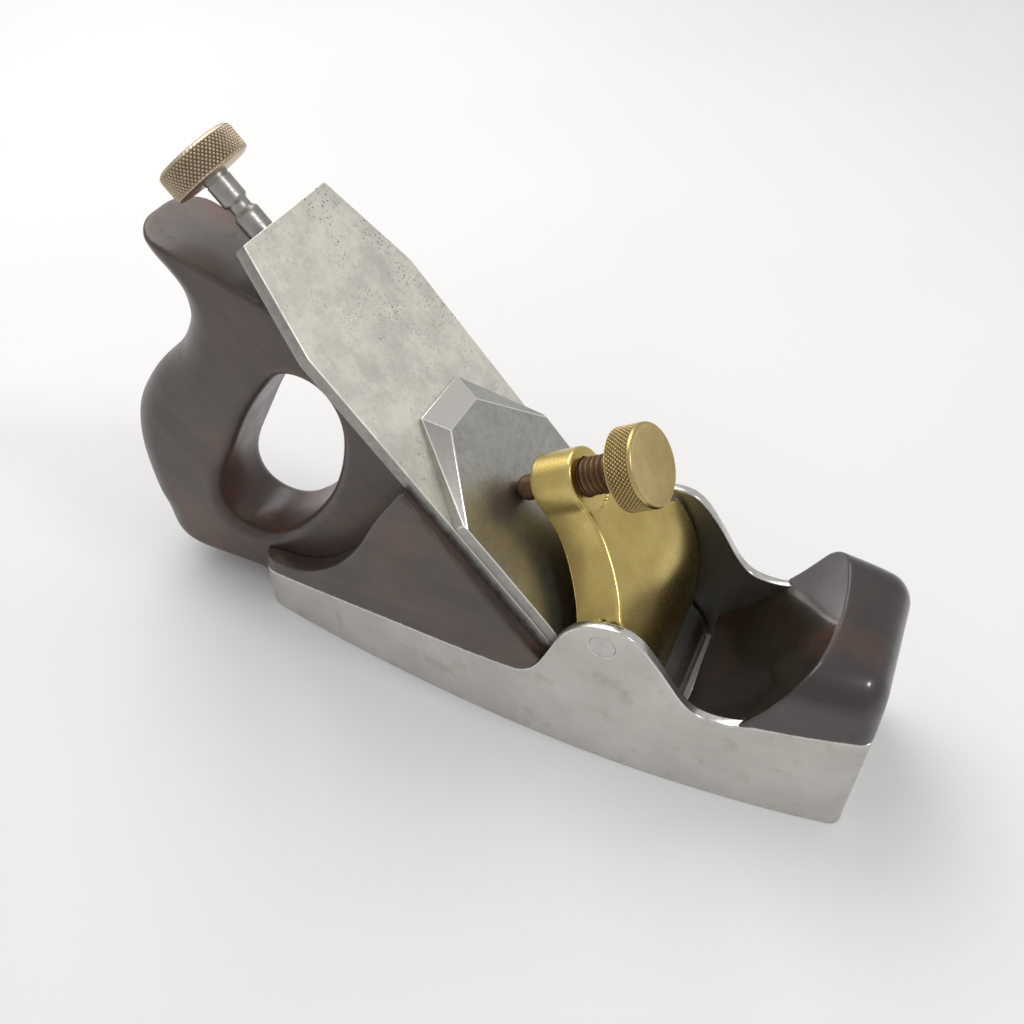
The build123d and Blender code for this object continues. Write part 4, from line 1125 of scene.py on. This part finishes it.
lathe("lever_cap_screw_fine", ls_prof, FOOT, D, M_BRONZE, "lever_screw", "lever_cap_screw", n=96, radius=threaded(9.5, 37.5, 1.9, 0.85), sharp=60)

KR, KT = 12.35, 9.0
SPN = -8.6
ak_prof = [(0.0, 3.1), (0.0, KR - 1.5), (0.15, KR - 0.9), (0.5, KR - 0.35), (1.0, KR - 0.1)] + stations([(1.1, KR - 0.05), (2.5, KR), (KT - 2.0, KR), (KT - 1.1, KR - 0.2)], 0.125) + [(KT - 1.0, KR - 0.25), (KT - 0.5, KR - 0.75), (KT - 0.1, KR - 1.4), (KT, KR - 2.0), (KT, KR - 2.8), (KT - 0.12, 8.0), (KT - 0.2, 4.0), (KT - 0.22, 0.05)]
lathe("adjuster_knob_fine", ak_prof, bed_pt(217.2, 0.0, SPN), U, M_AKNOB, "adjuster_turn", "adjuster_knob", n=720, radius=knurled(0.8, KT - 0.9, 58, 1.45, 0.42), sharp=50)
sp_prof = [(0.6, 0.05), (0.6, 2.1), (0.9, 2.4)] + stations([(1.1, 2.4), (14.3, 2.4)], 0.3) + [(14.5, 2.45), (15.3, 3.25)] + stations([(15.5, 3.28), (95.3, 3.28)], 0.35) + [(95.5, 3.35), (96.8, 3.9), (97.1, 3.98)] + stations([(97.5, 4.0), (113.0, 4.0)], 1.0) + [(113.3, 3.85), (114.2, 3.1), (114.5, 3.0), (116.3, 3.0), (116.6, 3.1), (117.3, 3.7), (117.6, 3.88), (118.0, 3.9), (124.2, 3.9), (124.3, 3.6), (124.6, 3.6), (124.7, 3.9), (125.6, 3.9), (125.6, 3.0), (130.3, 3.0), (130.3, 0.05)]
lathe("adjuster_spindle_fine", sp_prof, bed_pt(91.6, 0.0, SPN), U, M_SPINDLE, "spindle", "adjuster_spindle", n=72, radius=threaded(15.5, 60.0, 1.1, 0.4), sharp=40)

# ------------------------------------------------------------------ carried-over pieces
for node, mat in {
    "sole_front": M_STEEL, "sole_rear": M_STEEL, "lever_cap_pin": M_PIN, "bun_screws": M_SCREW, "tote_screws": M_SCREW,
    "bed_plate_screws": M_SCREW, "adjuster_bed_plate": M_PIN, "cap_iron_screw": M_SCREW, "adjuster_carriage": M_BRASS, "adjuster_swivel": M_BRASS,
}.items():
    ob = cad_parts[node]
    ob.data.materials.clear()
    ob.data.materials.append(mat)


# ------------------------------------------------------------------ floor, light, camera
def floor():
    me = bpy.data.meshes.new("floor")
    s = 3.0
    me.from_pydata([(-s, -s, 0), (s, -s, 0), (s, s, 0), (-s, s, 0)], [], [(0, 1, 2, 3)])
    ob = bpy.data.objects.new("floor", me)
    bpy.context.scene.collection.objects.link(ob)
    m = Mat("floor_paper")
    tone = m.noise(0.004, 2, 0.5)
    col = m.mix(m.maprange(tone, 0.3, 0.7, 0, 1), (0.80, 0.795, 0.785), (0.83, 0.825, 0.815))
    m.set(color=col, rough=0.9)
    me.materials.append(m.m)
    return ob


floor()

world = bpy.data.worlds.new("studio")
bpy.context.scene.world = world
world.use_nodes = True
wt = world.node_tree
wt.nodes.clear()
wo = wt.nodes.new("ShaderNodeOutputWorld")
wb = wt.nodes.new("ShaderNodeBackground")
wb.inputs["Color"].default_value = (1.0, 1.0, 1.0, 1.0)
wb.inputs["Strength"].default_value = 0.625
wt.links.new(wb.outputs[0], wo.inputs[0])


def area(name, loc, target, size, power, color=(1, 1, 1)):
    li = bpy.data.lights.new(name, "AREA")
    li.shape = "RECTANGLE"
    li.size, li.size_y = size
    li.energy = power
    li.color = color
    ob = bpy.data.objects.new(name, li)
    bpy.context.scene.collection.objects.link(ob)
    ob.location = loc
    ob.rotation_mode = "QUATERNION"
    ob.rotation_quaternion = (Vector(target) - Vector(loc)).to_track_quat("-Z", "Y")
    return ob


area("key", (-0.50, 0.34, 0.80), (-0.05, 0, 0.03), (0.75, 0.75), 5.0, (1.0, 0.99, 0.975))
area("window", (0.55, -0.05, 0.75), (0.03, 0, 0.04), (0.14, 0.14), 1.6, (1.0, 1.0, 1.0))

cam_data = bpy.data.cameras.new("camera")
cam = bpy.data.objects.new("camera", cam_data)
bpy.context.scene.collection.objects.link(cam)
R = ((0.9137241615, 0.4063107228, 0.0044444566), (0.2890910476, -0.6423527766, -0.7097952357), (-0.2855425062, 0.6498419092, -0.7043940447))
mat = Matrix.Identity(4)
for i in range(3):
    mat[i][0], mat[i][1], mat[i][2] = R[0][i], -R[1][i], -R[2][i]
mat[0][3], mat[1][3], mat[2][3] = (182.3 - 104.08) / 1000, -215.1 / 1000, 295.0 / 1000
cam.matrix_world = mat
cam_data.sensor_width = 36.0
cam_data.sensor_fit = "HORIZONTAL"
cam_data.lens = 36.0 * 1063.5 / 1024
cam_data.clip_start = 0.01
cam_data.clip_end = 20.0
bpy.context.scene.camera = cam

bpy.context.scene.view_settings.view_transform = "Standard"
